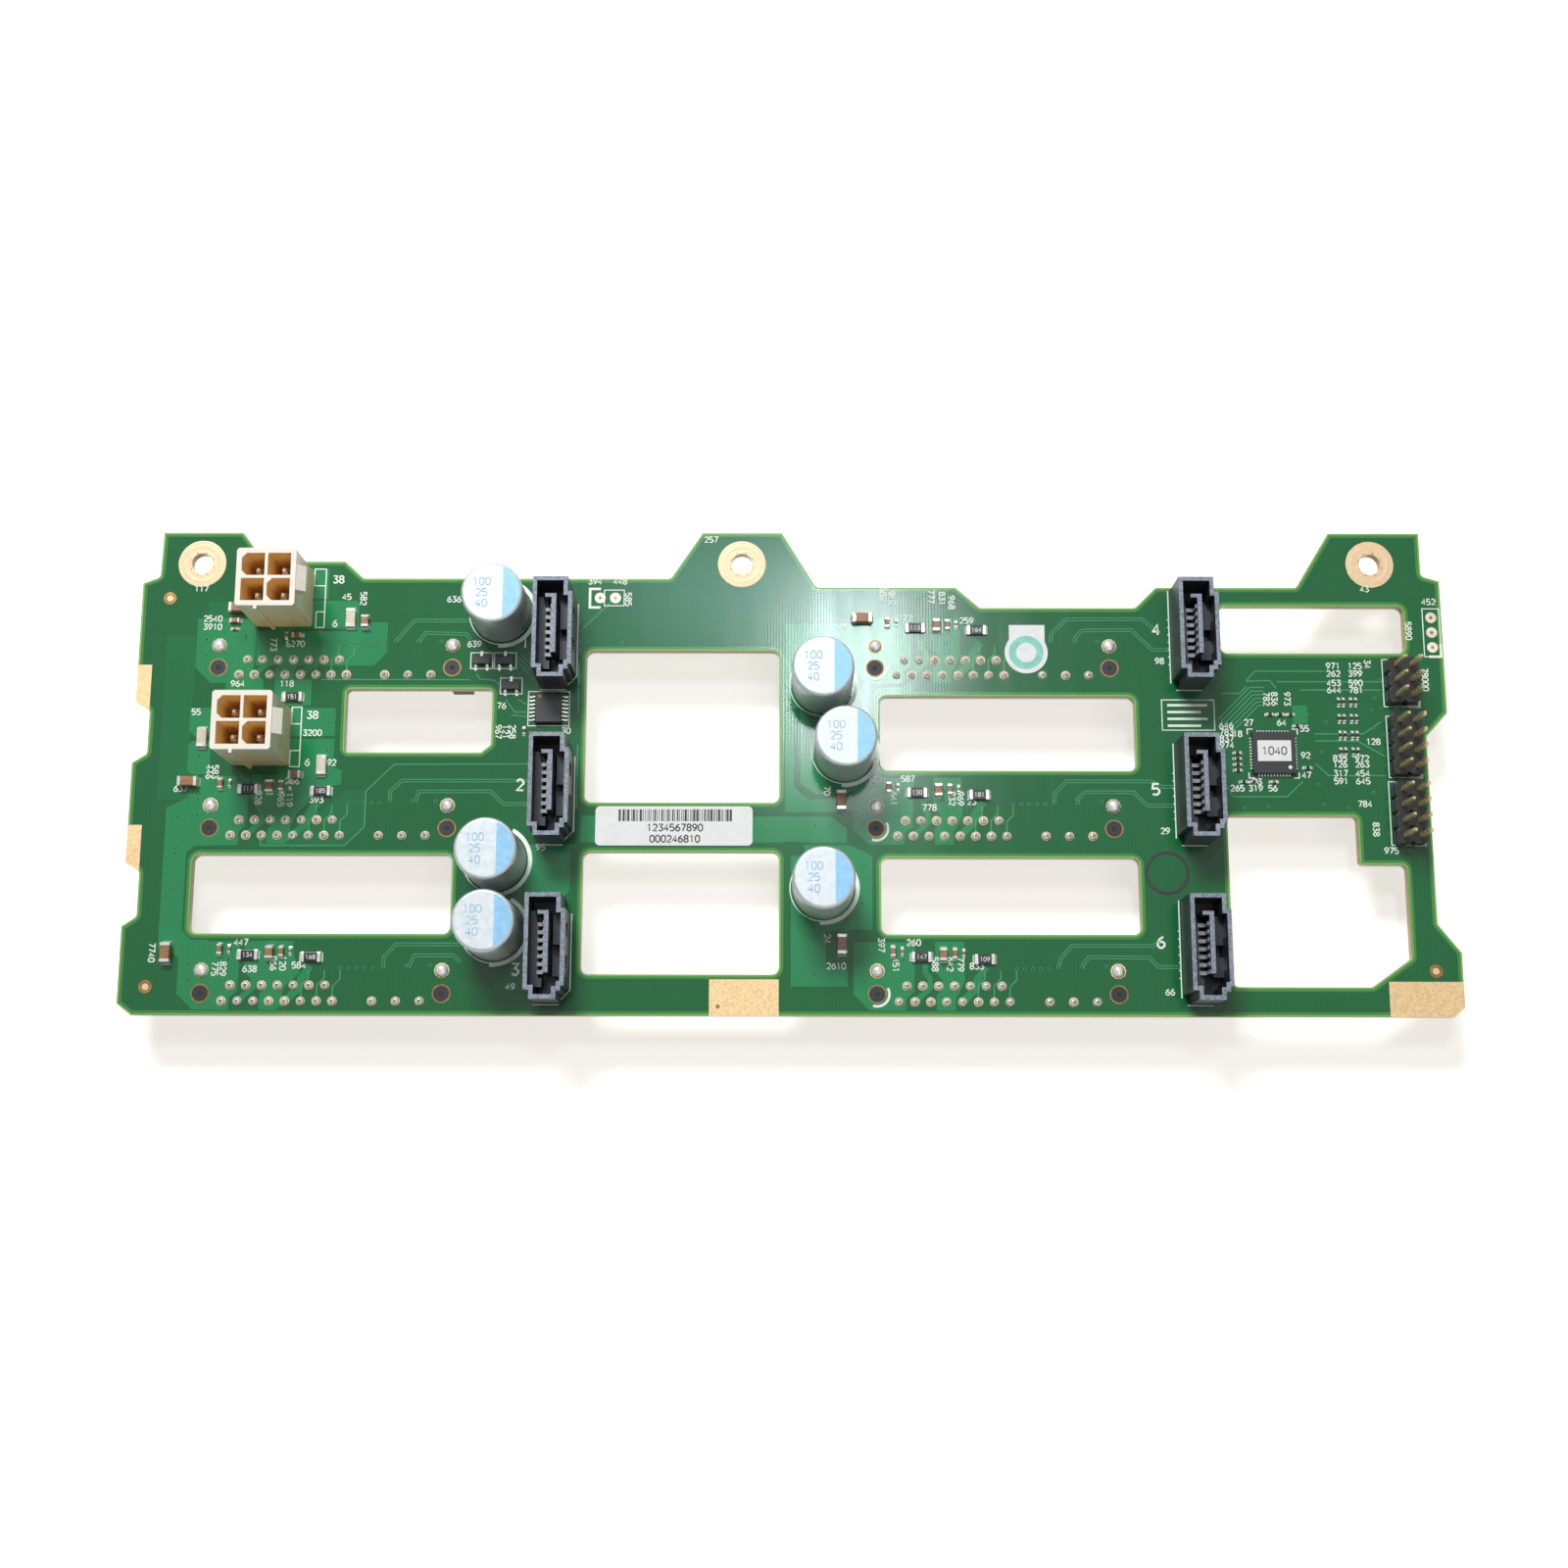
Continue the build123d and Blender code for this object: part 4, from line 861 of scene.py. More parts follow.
# White print
NUMBER_HEIGHT = 0.95
FINE_PEN = 0.16
THIN_PEN = 0.18
HEAVY_PEN = 0.42
FRAMES = [
    (97.7, 10.6, 103.5, 18.6), (97.9, -1.3, 103.2, 9), (97.7, -12.5, 103.2, -2),
    (104.85, 19.1, 107.6, 27.3), (-31, 27.7, -27.7, 30.4), (61.1, 6.6, 69.7, 11.7),
    (-52.9, 16.9, -49.3, 19.6), (-49, 16.9, -45.4, 19.6), (-47.9, 12.6, -44.3, 15.3),
    (-43.2, 7.2, -36.4, 13),
]
HEAVY_LINES = [
    [(103.5, 12.6), (103.5, 10.6), (101.6, 10.6)], [(103.2, 0.4), (103.2, -1.3), (101.4, -1.3)],
    [(103.2, -10.8), (103.2, -12.5), (101.4, -12.5)], [(107.6, 21.2), (107.6, 19.1), (105.6, 19.1)],
    [(-31.6, 30.6), (-33.4, 30.6), (-33.4, 27.4), (-31.6, 27.4)],
]
THIN_LINES = [
    [(-77.5, 34), (-77.5, 23.9)], [(-80.5, 10.4), (-80.5, 0.2)],
    [(-77.5, 34), (-79.4, 34), (-79.4, 31.1), (-77.5, 31.1)],
    [(-77.5, 26.6), (-78.9, 26.6), (-78.9, 23.9), (-77.5, 23.9)],
    [(-80.5, 10.3), (-82.1, 10.3), (-82.1, 7.5), (-80.5, 7.5)],
    [(-80.5, 3), (-82.1, 3), (-82.1, 0.3), (-80.5, 0.3)], [(75, 5.9), (75, 6.8), (75.9, 6.8)],
    [(82.3, 6.8), (83.2, 6.8), (83.2, 5.9)], [(83.2, -0.5), (83.2, -1.4), (82.3, -1.4)],
    [(75.9, -1.4), (75, -1.4), (75, -0.5)],
]
print_layer = Layer(SUNK, SILK_TOP)
for box in FRAMES:
    print_layer.frame(*box, FINE_PEN)
for lines, pen in ((HEAVY_LINES, HEAVY_PEN), (THIN_LINES, THIN_PEN)):
    for line in lines:
        print_layer.line(line, pen)
# Lines beside the data sockets, from each socket's upper end: the left column, then the right
SOCKET_ENDS = (-21.6, 4.35, 30.3)
SOCKET_LENGTH = 16.98
for y in SOCKET_ENDS:
    print_layer.line([(-35.3, y - 2.3), (-35.3, y - 14.6), (-36.2, y - 15.6), (-36.9, y - 16.3)], THIN_PEN)
    print_layer.line([(-41.4, y - SOCKET_LENGTH), (-37.05, y - SOCKET_LENGTH)], THIN_PEN)
for y in SOCKET_ENDS:
    print_layer.line([(62.74, y), (62.74, y - 15.8)], THIN_PEN)
    for i in range(7):
        print_layer.line([(62.74, y - 5.0 - 1.27 * i), (62.45, y - 5.0 - 1.27 * i)], FINE_PEN)
    print_layer.line([(63.6, y - SOCKET_LENGTH), (67.85, y - SOCKET_LENGTH)], THIN_PEN)
CANS = {name: middle(box_mm(name))[:2] for name in nodes if name.endswith("_can")}
for x, y in CANS.values():
    print_layer.ring(x, y, 5.45, 5.28, 64)
    print_layer.ring(x, y, 5.95, 5.42, 32, -95, 62)
for y in BAY_ROWS:
    print_layer.ring(RIGHT_BAY + POSTS[0][0], y + POSTS[0][1], 2.15, 1.75, 20, -110, 30)

# Numbers beside the parts: x, y, how many digits, and 1 where they run down the board
NUMBERS = [
    (-98.2, 30.6, 3, 0), (-96, 25.4, 4, 0), (-96, 24, 4, 0), (-73.9, 29.2, 2, 0), (-71.1, 28.9, 3, 1),
    (-56, 28.8, 3, 0), (-85.7, 21, 3, 1), (-82.1, 21.1, 4, 0), (-91.3, 14.3, 3, 0), (-83.2, 14.3, 3, 0),
    (-97.9, 9.5, 2, 0), (-75.2, 1, 2, 0), (-95.2, -0.6, 3, 1), (-94.2, -0.6, 3, 1), (-99.7, -3.4, 3, 0),
    (-102.8, -30.3, 4, 1), (-86.9, -4.9, 3, 1), (-83.2, -5.2, 3, 1), (-81.8, -5.2, 3, 1),
    (-81.5, -2.1, 3, 0), (-77.4, -5.2, 3, 0), (-88.5, -28.6, 3, 0), (-79, -32.3, 3, 0),
    (-86.9, -32.9, 3, 0), (-92.5, -32.9, 3, 1), (-91.2, -32.9, 3, 1), (-83.1, -32, 3, 1),
    (-81.6, -32, 3, 1), (-13.3, 39.2, 3, 0), (-32.6, 31.9, 3, 0), (-28.4, 31.9, 3, 0), (-27, 28.8, 3, 1),
    (-52.4, 21.1, 3, 0), (-47.6, 10.6, 2, 0), (-36.9, 6.4, 2, 0), (-48, 6.2, 3, 1), (-46.8, 6.2, 3, 1),
    (-45.7, 6.2, 3, 1), (-40.6, -13, 2, 0), (-44.9, -35.7, 2, 0), (15.4, 29.8, 3, 1), (17, 29.1, 3, 1),
    (23.4, 29.3, 3, 1), (25.2, 29, 3, 1), (26.8, 28.3, 3, 1), (19, 25.7, 3, 0), (29.2, 25.2, 3, 0),
    (8.7, 24, 2, 0), (13.6, -1.6, 3, 1), (19.2, -1.6, 3, 0), (16.9, -4.9, 3, 1), (22.7, -6.4, 3, 0),
    (26.4, -4.9, 3, 1), (27.8, -4.9, 3, 1), (29.6, -5.4, 2, 0), (19.9, -28.5, 3, 0), (14.7, -28.9, 3, 1),
    (17, -32.1, 3, 1), (23.3, -32, 3, 1), (25.7, -32, 3, 1), (27.4, -32, 3, 1), (30, -32.3, 3, 0),
    (6, -3.6, 2, 1), (6, -27.9, 2, 1), (7.4, -32.3, 4, 0), (61, 18.3, 2, 0), (106, 28.5, 3, 0),
    (102.4, 23.5, 4, 1), (95.5, 30.7, 2, 0), (104.7, 15.2, 5, 1), (95.3, 17.8, 2, 1), (89.6, 17.5, 3, 0),
    (93.2, 17.5, 3, 0), (89.6, 16.2, 3, 0), (93.2, 16.2, 3, 0), (89.6, 14.6, 3, 0), (93.2, 14.6, 3, 0),
    (89.6, 13.4, 3, 0), (93.2, 13.4, 3, 0), (90, 1.9, 3, 0), (93.6, 1.9, 3, 0), (90, 0.9, 3, 0),
    (93.6, 0.9, 3, 0), (90, -0.6, 3, 0), (93.6, -0.6, 3, 0), (90, -1.9, 3, 0), (93.6, -1.9, 3, 0),
    (78.4, 11.9, 3, 1), (79.7, 11.9, 3, 1), (81.8, 11.9, 3, 1), (75.3, 7.9, 2, 0), (80.7, 7.9, 2, 0),
    (73.4, 6, 2, 0), (84.4, 6.9, 2, 0), (84.4, 2.4, 2, 0), (71.6, 7.4, 3, 0), (71.6, 6.3, 3, 0),
    (71.6, 5.2, 3, 0), (71.6, 4.1, 3, 0), (95.6, 4.7, 3, 0), (73, -3.1, 3, 0), (76, -3.1, 3, 0),
    (78.8, -3.1, 2, 0), (76.3, -2, 2, 0), (84.4, -0.9, 2, 0), (93.7, -5.7, 3, 0), (95.3, -9.9, 3, 1),
    (97.6, -13.4, 3, 0), (61, -10.2, 2, 0), (60.9, -36.4, 2, 0), (-78.6, 6, 4, 0),
]


def made_up(i, count):
    """A plain number of some digits, which says nothing."""
    number = 17 + 37 * i % 83
    if count > 2:
        number += 100 * (i % 9 + 1)
    return str(number).ljust(count, "0")


for i, (x, y, count, upright) in enumerate(NUMBERS):
    print_layer.digits(x, y, made_up(i, count), NUMBER_HEIGHT, bool(upright))
# Larger ones: x, y, digits and height
BIG_NUMBERS = [
    (-75.4, 32.2, "38", 1.2), (-78.7, 9.0, "38", 1.2), (-75.7, 24.6, "6", 1.1), (-79.2, 1.05, "6", 1.1),
    (-44, 21.4, "1", 1.8), (-44.2, -2.7, "2", 1.8), (-44.2, -32.9, "3", 1.8), (60.6, 23.7, "4", 1.8),
    (59.7, -3.3, "5", 1.8), (59.7, -28.4, "6", 1.8),
]
for number in BIG_NUMBERS:
    print_layer.digits(*number)
for row in range(4):
    y = 10.8 - 1.15 * row
    print_layer.line([(62.0, y), (68.6 - 1.1 * (row % 2), y)], 0.4)
print_layer.piece("white_print", silk, "paper")

# Gold: screw rings, edge lands, pads and track holes
ROUND_SIDES = 72
rings = bmesh.new()
RING_PROFILE = [
    (1.78, -0.02), (1.78, 0.05), (2.0, 0.06), (2.3, 0.045), (2.75, 0.045), (2.85, 0.06),
    (3.2, 0.06), (3.3, 0.045), (3.8, 0.045), (3.98, 0.03), (3.98, -0.02),
]
for box in islands("mounting_lands"):
    x, y, _ = middle(box)
    levels = [[rings.verts.new((px * MM, py * MM, (BOARD_TOP + height) * MM))
               for px, py in circle(x, y, radius, ROUND_SIDES)] for radius, height in RING_PROFILE]
    for inner, outer in zip(levels, levels[1:] + levels[:1]):
        for i in range(ROUND_SIDES):
            j = (i + 1) % ROUND_SIDES
            rings.faces.new((inner[i], outer[i], outer[j], inner[j]))
bmesh.ops.recalc_face_normals(rings, faces=rings.faces)
finish_piece("screw_rings", rings, gold, "gold_land", "mounting_lands")
ring_marks = Layer(SUNK, DENT_TOP)
for box in islands("mounting_lands"):
    x, y, _ = middle(box)
    for angle in range(20, 380, 45):
        ring_marks.ring(x, y, 2.05, 1.93, 4, angle, angle + 12)
ring_marks.piece("screw_ring_dents", rim_brown, "gold_land")

# Small round lands: tooling dots near the board's two ends, and the jumpers' pads
LARGEST_DOT = 2.6
TOOLING_X = 103.6
lands = Layer(SUNK, LAND_TOP)
pads = Layer(SUNK, LAND_TOP)
land_eyes = Layer(SUNK, EYE_TOP)
small_lands = [box for box in islands("bare_lands") if max(extent(box)[:2]) <= LARGEST_DOT]
for box in small_lands:
    x, y, _ = middle(box)
    if abs(abs(x) - TOOLING_X) < 1.0:
        land_eyes.ring(x, y, 1.08, 0.62, 24)
        lands.disc(x, y, 0.55)
    else:
        pads.disc(x, y, 0.9, 28)
        land_eyes.disc(x, y, 0.26, 16)
edge_lands = merged_copy("bare_lands")
in_small = [vert for vert in edge_lands.verts if any(
    all(low - 0.01 <= p <= high + 0.01 for p, low, high in zip(vert.co / MM, *box)) for box in small_lands)]
bmesh.ops.delete(edge_lands, geom=in_small, context="VERTS")
finish_piece("edge_lands", edge_lands, worn_gold, "gold_land", "bare_lands")
lands.piece("round_lands", gold, "gold_land")
pads.piece("jumper_pads", pad_tin, "gold_land")
# A dark mark on the bottom land
land_eyes.disc(-11.6, -38.8, 0.35, 12)
land_eyes.piece("land_eyes", rim_brown, "gold_land")

# Plated track holes: 14 alike in every bay, and single ones
BAY_EYES = [
    (18.9, 5.3), (20.2, 5.3), (21.5, 5.3), (22.8, 5.3), (24.1, 5.3), (25.7, 5.7), (29.4, 5.7),
    (33.3, 5.7), (-5.6, 3.4), (-5.6, 6), (0.8, 6.8), (7.6, 7.4), (9, 7.4), (8.2, 5.6),
]
LOOSE_EYES = [
    (-100, -8), (-100, -14), (-100, -20), (-100, -26), (-28, -9.5), (-22, -10.5), (-15, -9.2),
    (-4, -10.4), (4, -9.4), (1.4, -20), (11.6, -16), (11.6, -22), (4, -33.6), (-90.4, 22), (-80, 26),
    (-74, 26), (-74, 21), (-76, 7.8), (-76, 3), (-97, 2), (85.2, 9.2), (88, 8), (87, 3), (86.2, -2.5),
    (74, -6.4), (78, -6.2), (87, -5.8), (91, -6.4), (96.2, 12), (95.6, 10), (95.8, 7), (95.2, -3.8),
    (-36.2, 20), (-33.6, 21.6), (-28, 21.4), (-14, 28.6), (-13, 33), (0.4, 29), (16, 24), (22, 24.4),
    (30, 23),
]
eyes = [place for bay in BAYS for place in shifted(BAY_EYES, *bay)] + LOOSE_EYES
for name, width, height, look in (("track_eyes", 0.56, 0.1, trace_green),
                                  ("track_eye_holes", 0.34, 0.11, via_dark)):
    points = [((x, y, SUNK), (width, width, height), 0) for x, y in eyes]
    grow(name, repeats, points, look, "board", Shape=via_eye)

# Solder joints and the pins in them
NARROWEST_LOCK = 1.9
LOCK_DROP, LOCK_RIM = (1.12, 1.12, 0.85), (2.5, 2.5, 0.11)
PIN_DROP, PIN_RIM = (0.66, 0.66, 0.6), (1.5, 1.5, 0.11)
PIN_END, PIN_END_RISE = (0.46, 0.46, 0.68), 0.2
joints, joint_rims, pin_ends, locks, lock_rims = [], [], [], [], []
for box in islands("cable_side_solder"):
    x, y, _ = middle(box)
    if extent(box)[0] > NARROWEST_LOCK:
        locks.append(((x, y, BOARD_TOP), LOCK_DROP, 0))
        lock_rims.append(((x, y, SUNK), LOCK_RIM, 0))
    else:
        joints.append(((x, y, BOARD_TOP), PIN_DROP, 30 * (len(joints) % 7)))
        joint_rims.append(((x, y, SUNK), PIN_RIM, 0))
        pin_ends.append(((x, y, BOARD_TOP + PIN_END_RISE), PIN_END, 0))
grow("pin_joints", drops, joints + locks, solder, "solder", "cable_side_solder", Sides=16, Rings=10, Seed=8)
grow("joint_rims", repeats, joint_rims + lock_rims, worn_gold, "gold_land", Shape=via_eye)
grow("pin_ends", repeats, pin_ends, dull_pin, "tinned_pin", Shape=pin_stub, Seed=4)

under_joints = []
for box in islands("drive_side_solder"):
    width, depth, height = extent(box)
    under_joints.append(((*middle(box)[:2], BOARD_BOTTOM), (width / 2, depth / 2, -height), 0))
grow("under_joints", drops, under_joints, solder, "solder", "drive_side_solder",
     Smallest=0.9, Largest=0.995, Seed=11)

# Posts of the drive sockets: a rim round each hole, and on each post's end a dark disc and ring that are
# painted shade in its hollow
rims = Layer(SUNK, RIM_TOP)
posts = Layer(SUNK, RIM_TOP)
hollows = Layer(SUNK, HOLLOW_TOP)
for bay in BAYS:
    for x, y in shifted(POSTS, *bay):
        rims.ring(x, y, 1.5, 1.3, 40)
        posts.disc(x, y, 1.31, 40)
        hollows.ring(x, y, 0.95, 0.82, 28)
        hollows.disc(x, y, 0.5, 20)
rims.piece("post_rims", rim_brown, "gold_land")
posts.piece("post_ends", black_plastic, "drive_housing")
hollows.piece("post_hollows", hollow_shade, "drive_housing")

# Capacitor cans
CAN_PROFILE = [
    (0, 12.44), (4.5, 12.44), (4.72, 12.36), (4.88, 12.2), (4.97, 11.98), (5.0, 11.7), (4.95, 11.3),
    (4.92, 11.2), (4.95, 11.1), (5.0, 10.8), (5.0, 2.7), (4.86, 2.45), (4.72, 2.0), (4.86, 1.55),
    (5.0, 1.3), (5.0, 0.25), (4.85, 0.0), (0, 0.0),
]
CAN_LID = BOARD_TOP + CAN_PROFILE[0][1]
LID_SUNK, LID_TOP, LID_INK = CAN_LID - 0.01, CAN_LID + 0.002, CAN_LID + 0.03
caps = Layer(LID_SUNK, LID_TOP)
segments = Layer(LID_SUNK, LID_INK)
can_numbers = Layer(LID_SUNK, LID_INK)
for name in sorted(CANS):
    x, y = CANS[name]
    body = bmesh.new()
    turned(body, CAN_PROFILE, ROUND_SIDES, x, y, BOARD_TOP, MM)
    bmesh.ops.recalc_face_normals(body, faces=body.faces)
    for face in body.faces:
        face.smooth = True
    finish_piece(name + "_shell", body, can_silver, "can", name)
    caps.disc(x, y, 4.5, 64)
    segments.area(circle(x, y, 4.56, 30, -67, 67))
    for row, number in ((1.8, "100"), (0, "25"), (-1.8, "40")):
        can_numbers.digits(x - 1.6, y + row, number, 1.2, pen=0.13)
caps.piece("can_lids", can_top, "can")
segments.piece("can_segments", can_blue, "can")
can_numbers.piece("can_numbers", can_ink, "can")

# Chip parts
end_boxes = islands("chip_end_caps")


def with_ends(box):
    """A chip body's box grown by the metal ends that touch it."""
    low, high = list(box[0]), list(box[1])
    for end_low, end_high in end_boxes:
        if all(end_low[i] <= box[1][i] + 0.06 and end_high[i] >= box[0][i] - 0.06 for i in range(3)):
            low = [min(a, b) for a, b in zip(low, end_low)]
            high = [max(a, b) for a, b in zip(high, end_high)]
    return low, high


END_SHARE = 0.21
SHORTEST_END, LONGEST_END = 0.22, 0.55
CHIPS = (
    ("ceramic_capacitors", ceramic, "ceramic"),
    ("chip_resistors", resistor_black, "resistor"),
    ("surface_fuses", fuse_body, "fuse"),
)
chip_ends, chip_fillets, value_marks = [], [], []
for node, look, slot in CHIPS:
    bodies = []
    for box in islands(node):
        low, high = with_ends(box)
        (x, y, z), (width, depth, height) = middle((low, high)), extent((low, high))
        lengthways = width >= depth
        length, across = (width, depth) if lengthways else (depth, width)
        turn = 0 if lengthways else 90
        end = max(SHORTEST_END, min(LONGEST_END, END_SHARE * length))
        bodies.append(((x, y, z), (length - 0.08, across - 0.06, height - 0.05), turn))
        for side in (-1, 1):
            shift = side * (length / 2 - end / 2)
            foot = side * (length / 2 - 0.02)
            place = (x + shift, y) if lengthways else (x, y + shift)
            edge = (x + foot, y) if lengthways else (x, y + foot)
            chip_ends.append(((*place, z), (end, across, height), turn))
            sides = (0.34, across * 0.94, height * 0.62)
            chip_fillets.append(((*edge, BOARD_TOP + 0.005), sides, turn + (0 if side > 0 else 180)))
        if node == "chip_resistors" and across > 1.0:
            value_marks.append((x, y, high[2], across, not lengthways))
    grow(node + "_fine", repeats, bodies, look, slot, node, Shape=block, Smallest=0.995, Largest=1.0)
grow("chip_metal_ends", repeats, chip_ends, solder, "solder", "chip_end_caps",
     Shape=block, Smallest=1.0, Largest=1.0)
grow("chip_fillets", repeats, chip_fillets, solder, "solder", Shape=fillet, Smallest=0.9, Largest=1.0)
top = max(mark[2] for mark in value_marks)
marks = Layer(top - 0.05, top + 0.004)
for i, (x, y, _, across, upright) in enumerate(value_marks):
    marks.digits(x, y, str(100 + 17 * i % 89), across * 0.42, upright, 0.14)
marks.piece("resistor_numbers", silk, "paper")

# Square pins of the headers
pins = [((*middle(box)[:2], box[0][2]), extent(box), 0) for box in islands("header_pins")]
grow("square_pins", repeats, pins, brass, "tinned_pin", "header_pins",
     Shape=square_pin, Smallest=1.0, Largest=1.0)


# Housings with broken edges
def softened(node, edge, material, slot):
    """A copy of a CAD node with its sharp edges broken, which stands for the node."""
    mesh = merged_copy(node)
    bmesh.ops.dissolve_limit(mesh, angle_limit=math.radians(1), verts=mesh.verts, edges=mesh.edges)
    data = mesh_data(node + "_fine", mesh)
    data.materials.append(material)
    holder = linked(node + "_holder", data)
    bevel = holder.modifiers.new("edges", "BEVEL")
    bevel.width = edge * MM
    bevel.segments = 2
    bevel.limit_method = "ANGLE"
    bevel.angle_limit = math.radians(40)
    return seat_piece(node + "_fine", made_mesh(holder, node + "_fine"), slot, node)


HEADER_EDGE, CHIP_EDGE = 0.08, 0.06
for node in ("upgrade_header", "first_signal_header", "second_signal_header"):
    softened(node, HEADER_EDGE, header_black, "header_housing")
for node in ("controller_body", "driver_body", "diode_bodies"):
    softened(node, CHIP_EDGE, package, "package")

# Marks on the two chips
for chip, x, y, radius, look, slot in (("controller", 81.6, 0.23, 0.32, paper, "paper"),
                                       ("driver", -41.2, 12.0, 0.3, rim_brown, "package")):
    top = box_mm(chip + "_body")[1][2]
    dot = Layer(top - 0.03, top + 0.01)
    dot.disc(x, y, radius, 20)
    dot.piece(chip + "_dot", look, slot)


# Labels
def ink_on(node, lift):
    """A layer of ink on a label."""
    top = box_mm(node)[1][2]
    return Layer(top - 0.02, top + lift)


LABEL_INK = 0.006
small_print = ink_on("controller_label", LABEL_INK)
small_print.digits(*middle(box_mm("controller_label"))[:2], "1040", 1.25, pen=0.15)
small_print.piece("controller_label_print", black_ink, "package")

FIRST_BAR, LAST_BAR = -28.0, -9.6
BAR_LOW, BAR_HIGH = -8.7, -6.75
BAR_WIDTHS = (0.12, 0.12, 0.25, 0.38)
BAR_GAPS = (0.13, 0.13, 0.26)
LABEL_MIDDLE = -18.8
label_print = ink_on("serial_label", LABEL_INK)
random.seed(11)
edge = FIRST_BAR
while edge < LAST_BAR:
    bar = random.choice(BAR_WIDTHS)
    label_print.area([(edge, BAR_LOW), (edge + bar, BAR_LOW), (edge + bar, BAR_HIGH), (edge, BAR_HIGH)])
    edge += bar + random.choice(BAR_GAPS)
label_print.digits(LABEL_MIDDLE, -9.75, "1234567890", 1.1)
label_print.digits(LABEL_MIDDLE, -11.6, "000246810", 1.1)
label_print.piece("serial_label_print", black_ink, "package")

sticker_low, sticker_high = box_mm("inspection_sticker")
radius = (sticker_high[0] - sticker_low[0]) / 2
sticker_x, sticker_y = sticker_low[0] + radius, sticker_low[1] + radius
sticker = Layer(SUNK, sticker_high[2])
tab_left, tab_right = sticker_x - 2.8, sticker_x + 3.1
tab = [(tab_right, sticker_high[1]), (tab_left, sticker_high[1])]
sticker.area(circle(sticker_x, sticker_y, radius, 60, 142, 390) + tab)
sticker.piece("round_sticker", paper, "sticker", "inspection_sticker")
sticker_ring = ink_on("inspection_sticker", 0.004)
sticker_ring.ring(sticker_x, sticker_y, 2.85, 1.67, 56)
sticker_ring.piece("sticker_ring", mint, "sticker")

# The drive side of the board
UNDER_SUNK = BOARD_BOTTOM + 0.02
under_copper = Layer(BOARD_BOTTOM - 0.01, UNDER_SUNK, under=True)
under_edges = Layer(BOARD_BOTTOM - 0.037, UNDER_SUNK, under=True)
under_print = Layer(BOARD_BOTTOM - 0.07, UNDER_SUNK, under=True)
for outline in EDGES:
    under_edges.band(offset_line(outline, 0.6, True), offset_line(outline, 0.04, True), True)
for outline in AREAS[5:]:
    under_copper.area(outline)
for x, y in BAYS:
    for outline in BAY_AREAS:
        under_copper.area(shifted(outline, x, y))
    under_print.frame(x - 6.2, y - 1.4, x + 37.9, y + 7.6, THIN_PEN)
    under_print.line([(x - 6.2, y + 4.8), (x - 3.4, y + 7.6)], THIN_PEN)
for x, y in CANS.values():
    under_print.ring(x, y, 5.45, 5.28, 48)
under_copper.piece("under_copper", pour_green, "board")
under_edges.piece("under_glass_edges", bare_glass, "board")
under_print.piece("under_print", silk, "paper")

# A ring left by a hand stamp
stamp = Layer(SUNK, SILK_TOP)
stamp.ring(61.1, -17.1, 3.6, 3.1, 56)
stamp.piece("stamp_ring", black_ink, "package")

# Materials of the CAD nodes that show as they are
looks = {
    "circuit_board": mask_green,
    "can_leads": tin,
    "controller_leads": tin,
    "driver_leads": tin,
    "diode_leads": tin,
    "serial_label": paper,
    "controller_label": paper,
    "status_lamps": lamp_clear,
    "upper_power_socket": nylon("upper_nylon", "upper_power_socket"),
    "lower_power_socket": nylon("lower_nylon", "lower_power_socket"),
    "upper_power_pins": tin,
    "lower_power_pins": tin,
}
families = {
    "drive_socket": black_plastic,
    "drive_contacts": contact_gold,
    "data_socket": charcoal,
    "data_contacts": contact_silver,
}
# Nodes that a piece replaces get the plain look of a package
for name, node in nodes.items():
    family = next((made for start, made in families.items() if name.startswith(start)), package)
    node.data.materials.clear()
    node.data.materials.append(looks.get(name, family))

for helper in helpers:
    bpy.data.objects.remove(helper)


# Floor and light
def seen_or_mirrored(tree):
    """1 for what the camera, a mirror or clear plastic sees, 0 for what lights the object."""
    paths = node_in(tree, "ShaderNodeLightPath").outputs
    share = paths["Is Camera Ray"]
    for ray in ("Is Glossy Ray", "Is Transmission Ray"):
        share = node_in(tree, "ShaderNodeMath", {0: share, 1: paths[ray]}, operation="MAXIMUM").outputs[0]
    return share


def blended(tree, lights, shows, end):
    """Gives a tree's end one shader that lights the object and another that shows."""
    choice = node_in(tree, "ShaderNodeMixShader", {"Fac": seen_or_mirrored(tree), 1: lights, 2: shows})
    tree.links.new(choice.outputs[0], tree.nodes[end].inputs["Surface"])


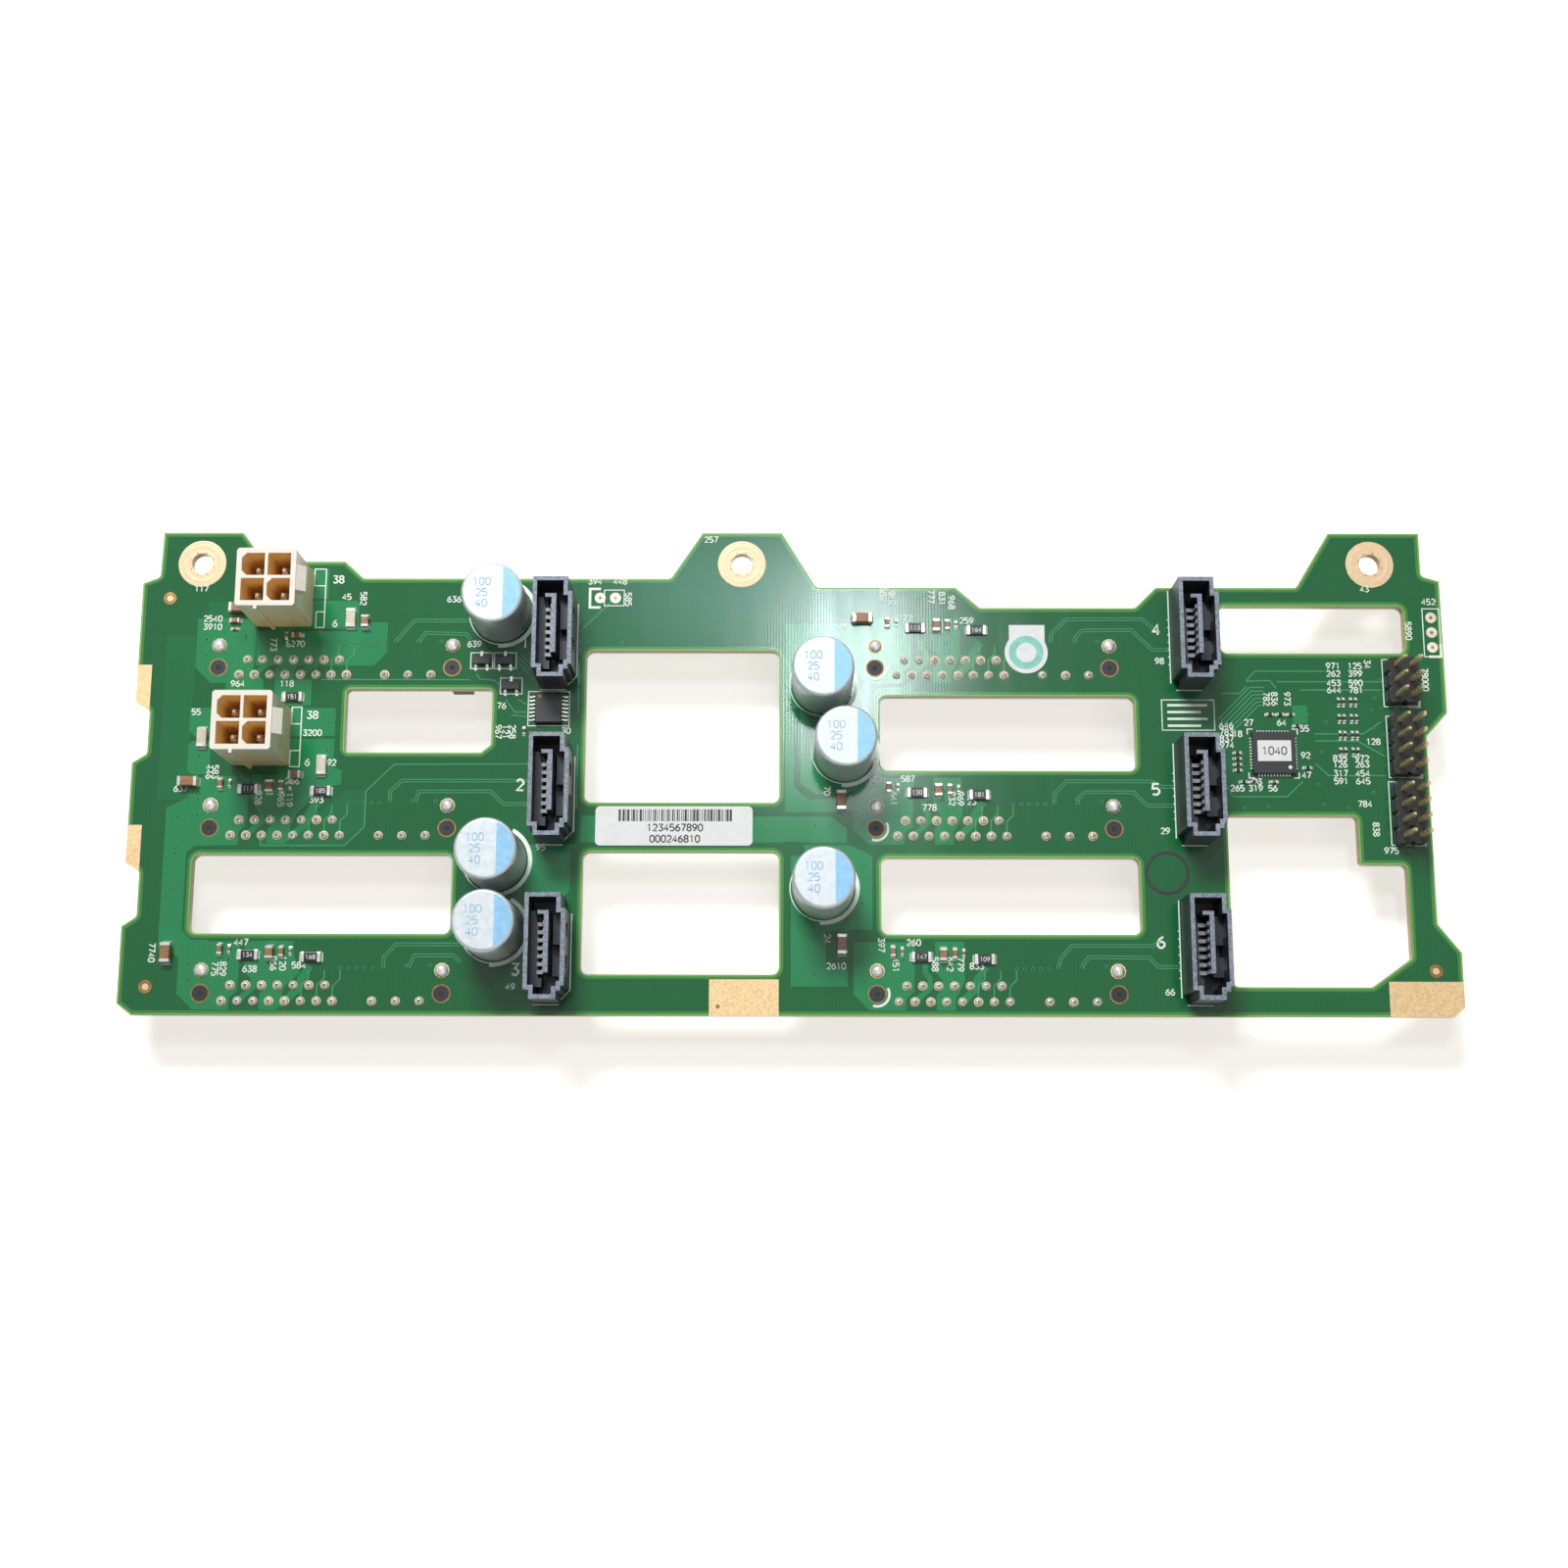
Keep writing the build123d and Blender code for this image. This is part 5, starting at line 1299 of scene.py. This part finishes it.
def white_floor():
    """A pale floor that shows as white and keeps the object's soft shadow."""
    bpy.ops.mesh.primitive_plane_add(size=FLOOR_SIZE)
    floor = bpy.context.active_object
    floor.name = "floor"
    floor.location.z = -FLOOR_GAP * MM
    made = bpy.data.materials.new("floor")
    made.use_nodes = True
    tree = made.node_tree
    shader = tree.nodes["Principled BSDF"]
    shader.inputs["Base Color"].default_value = (0.8, 0.78, 0.74, 1)
    shader.inputs["Roughness"].default_value = 0.9
    glow = node_in(tree, "ShaderNodeEmission", {"Color": (1.0, 0.94, 0.89, 1), "Strength": FLOOR_GLOW})
    both = node_in(tree, "ShaderNodeAddShader", {0: shader.outputs[0], 1: glow.outputs[0]})
    blended(tree, shader.outputs[0], both.outputs[0], "Material Output")
    floor.data.materials.append(made)


def area_lamp(name, place, target, width, depth, watts, tint=(1.0, 1.0, 1.0)):
    """A rectangular lamp at one place in millimetres that points at another."""
    data = bpy.data.lights.new(name, "AREA")
    data.shape = "RECTANGLE"
    data.size = width * MM
    data.size_y = depth * MM
    data.energy = watts
    data.color = tint
    lamp = linked(name, data)
    lamp.location = Vector(place) * MM
    aim = (Vector(target) - Vector(place)).normalized()
    lamp.rotation_euler = aim.to_track_quat("-Z", "Y").to_euler()


FLOOR_SIZE = 6.0
FLOOR_GAP = 0.05
FLOOR_GLOW = 0.72
ROOM_LIGHT = 0.34
world = bpy.data.worlds.new("world")
bpy.context.scene.world = world
world.use_nodes = True
sky = world.node_tree.nodes["Background"]
sky.inputs["Strength"].default_value = ROOM_LIGHT
white = node_in(world.node_tree, "ShaderNodeBackground", {"Strength": 1.0})
blended(world.node_tree, sky.outputs[0], white.outputs[0], "World Output")

white_floor()
# Glare and sheen are what the mask mirrors beside the middle cans and above the middle windows
area_lamp("key", (-250, 700, 900), (0, 0, 0), 380, 260, 11.8)
area_lamp("fill", (300, -500, 900), (0, 0, 0), 600, 600, 1.5)
area_lamp("glare", (30, 170, 610), (10, 16, 10), 50, 80, 0.46, (0.86, 0.95, 1.0))
area_lamp("sheen", (-20, 210, 610), (-7, 30, 10), 120, 50, 0.09, (0.6, 0.95, 1.0))
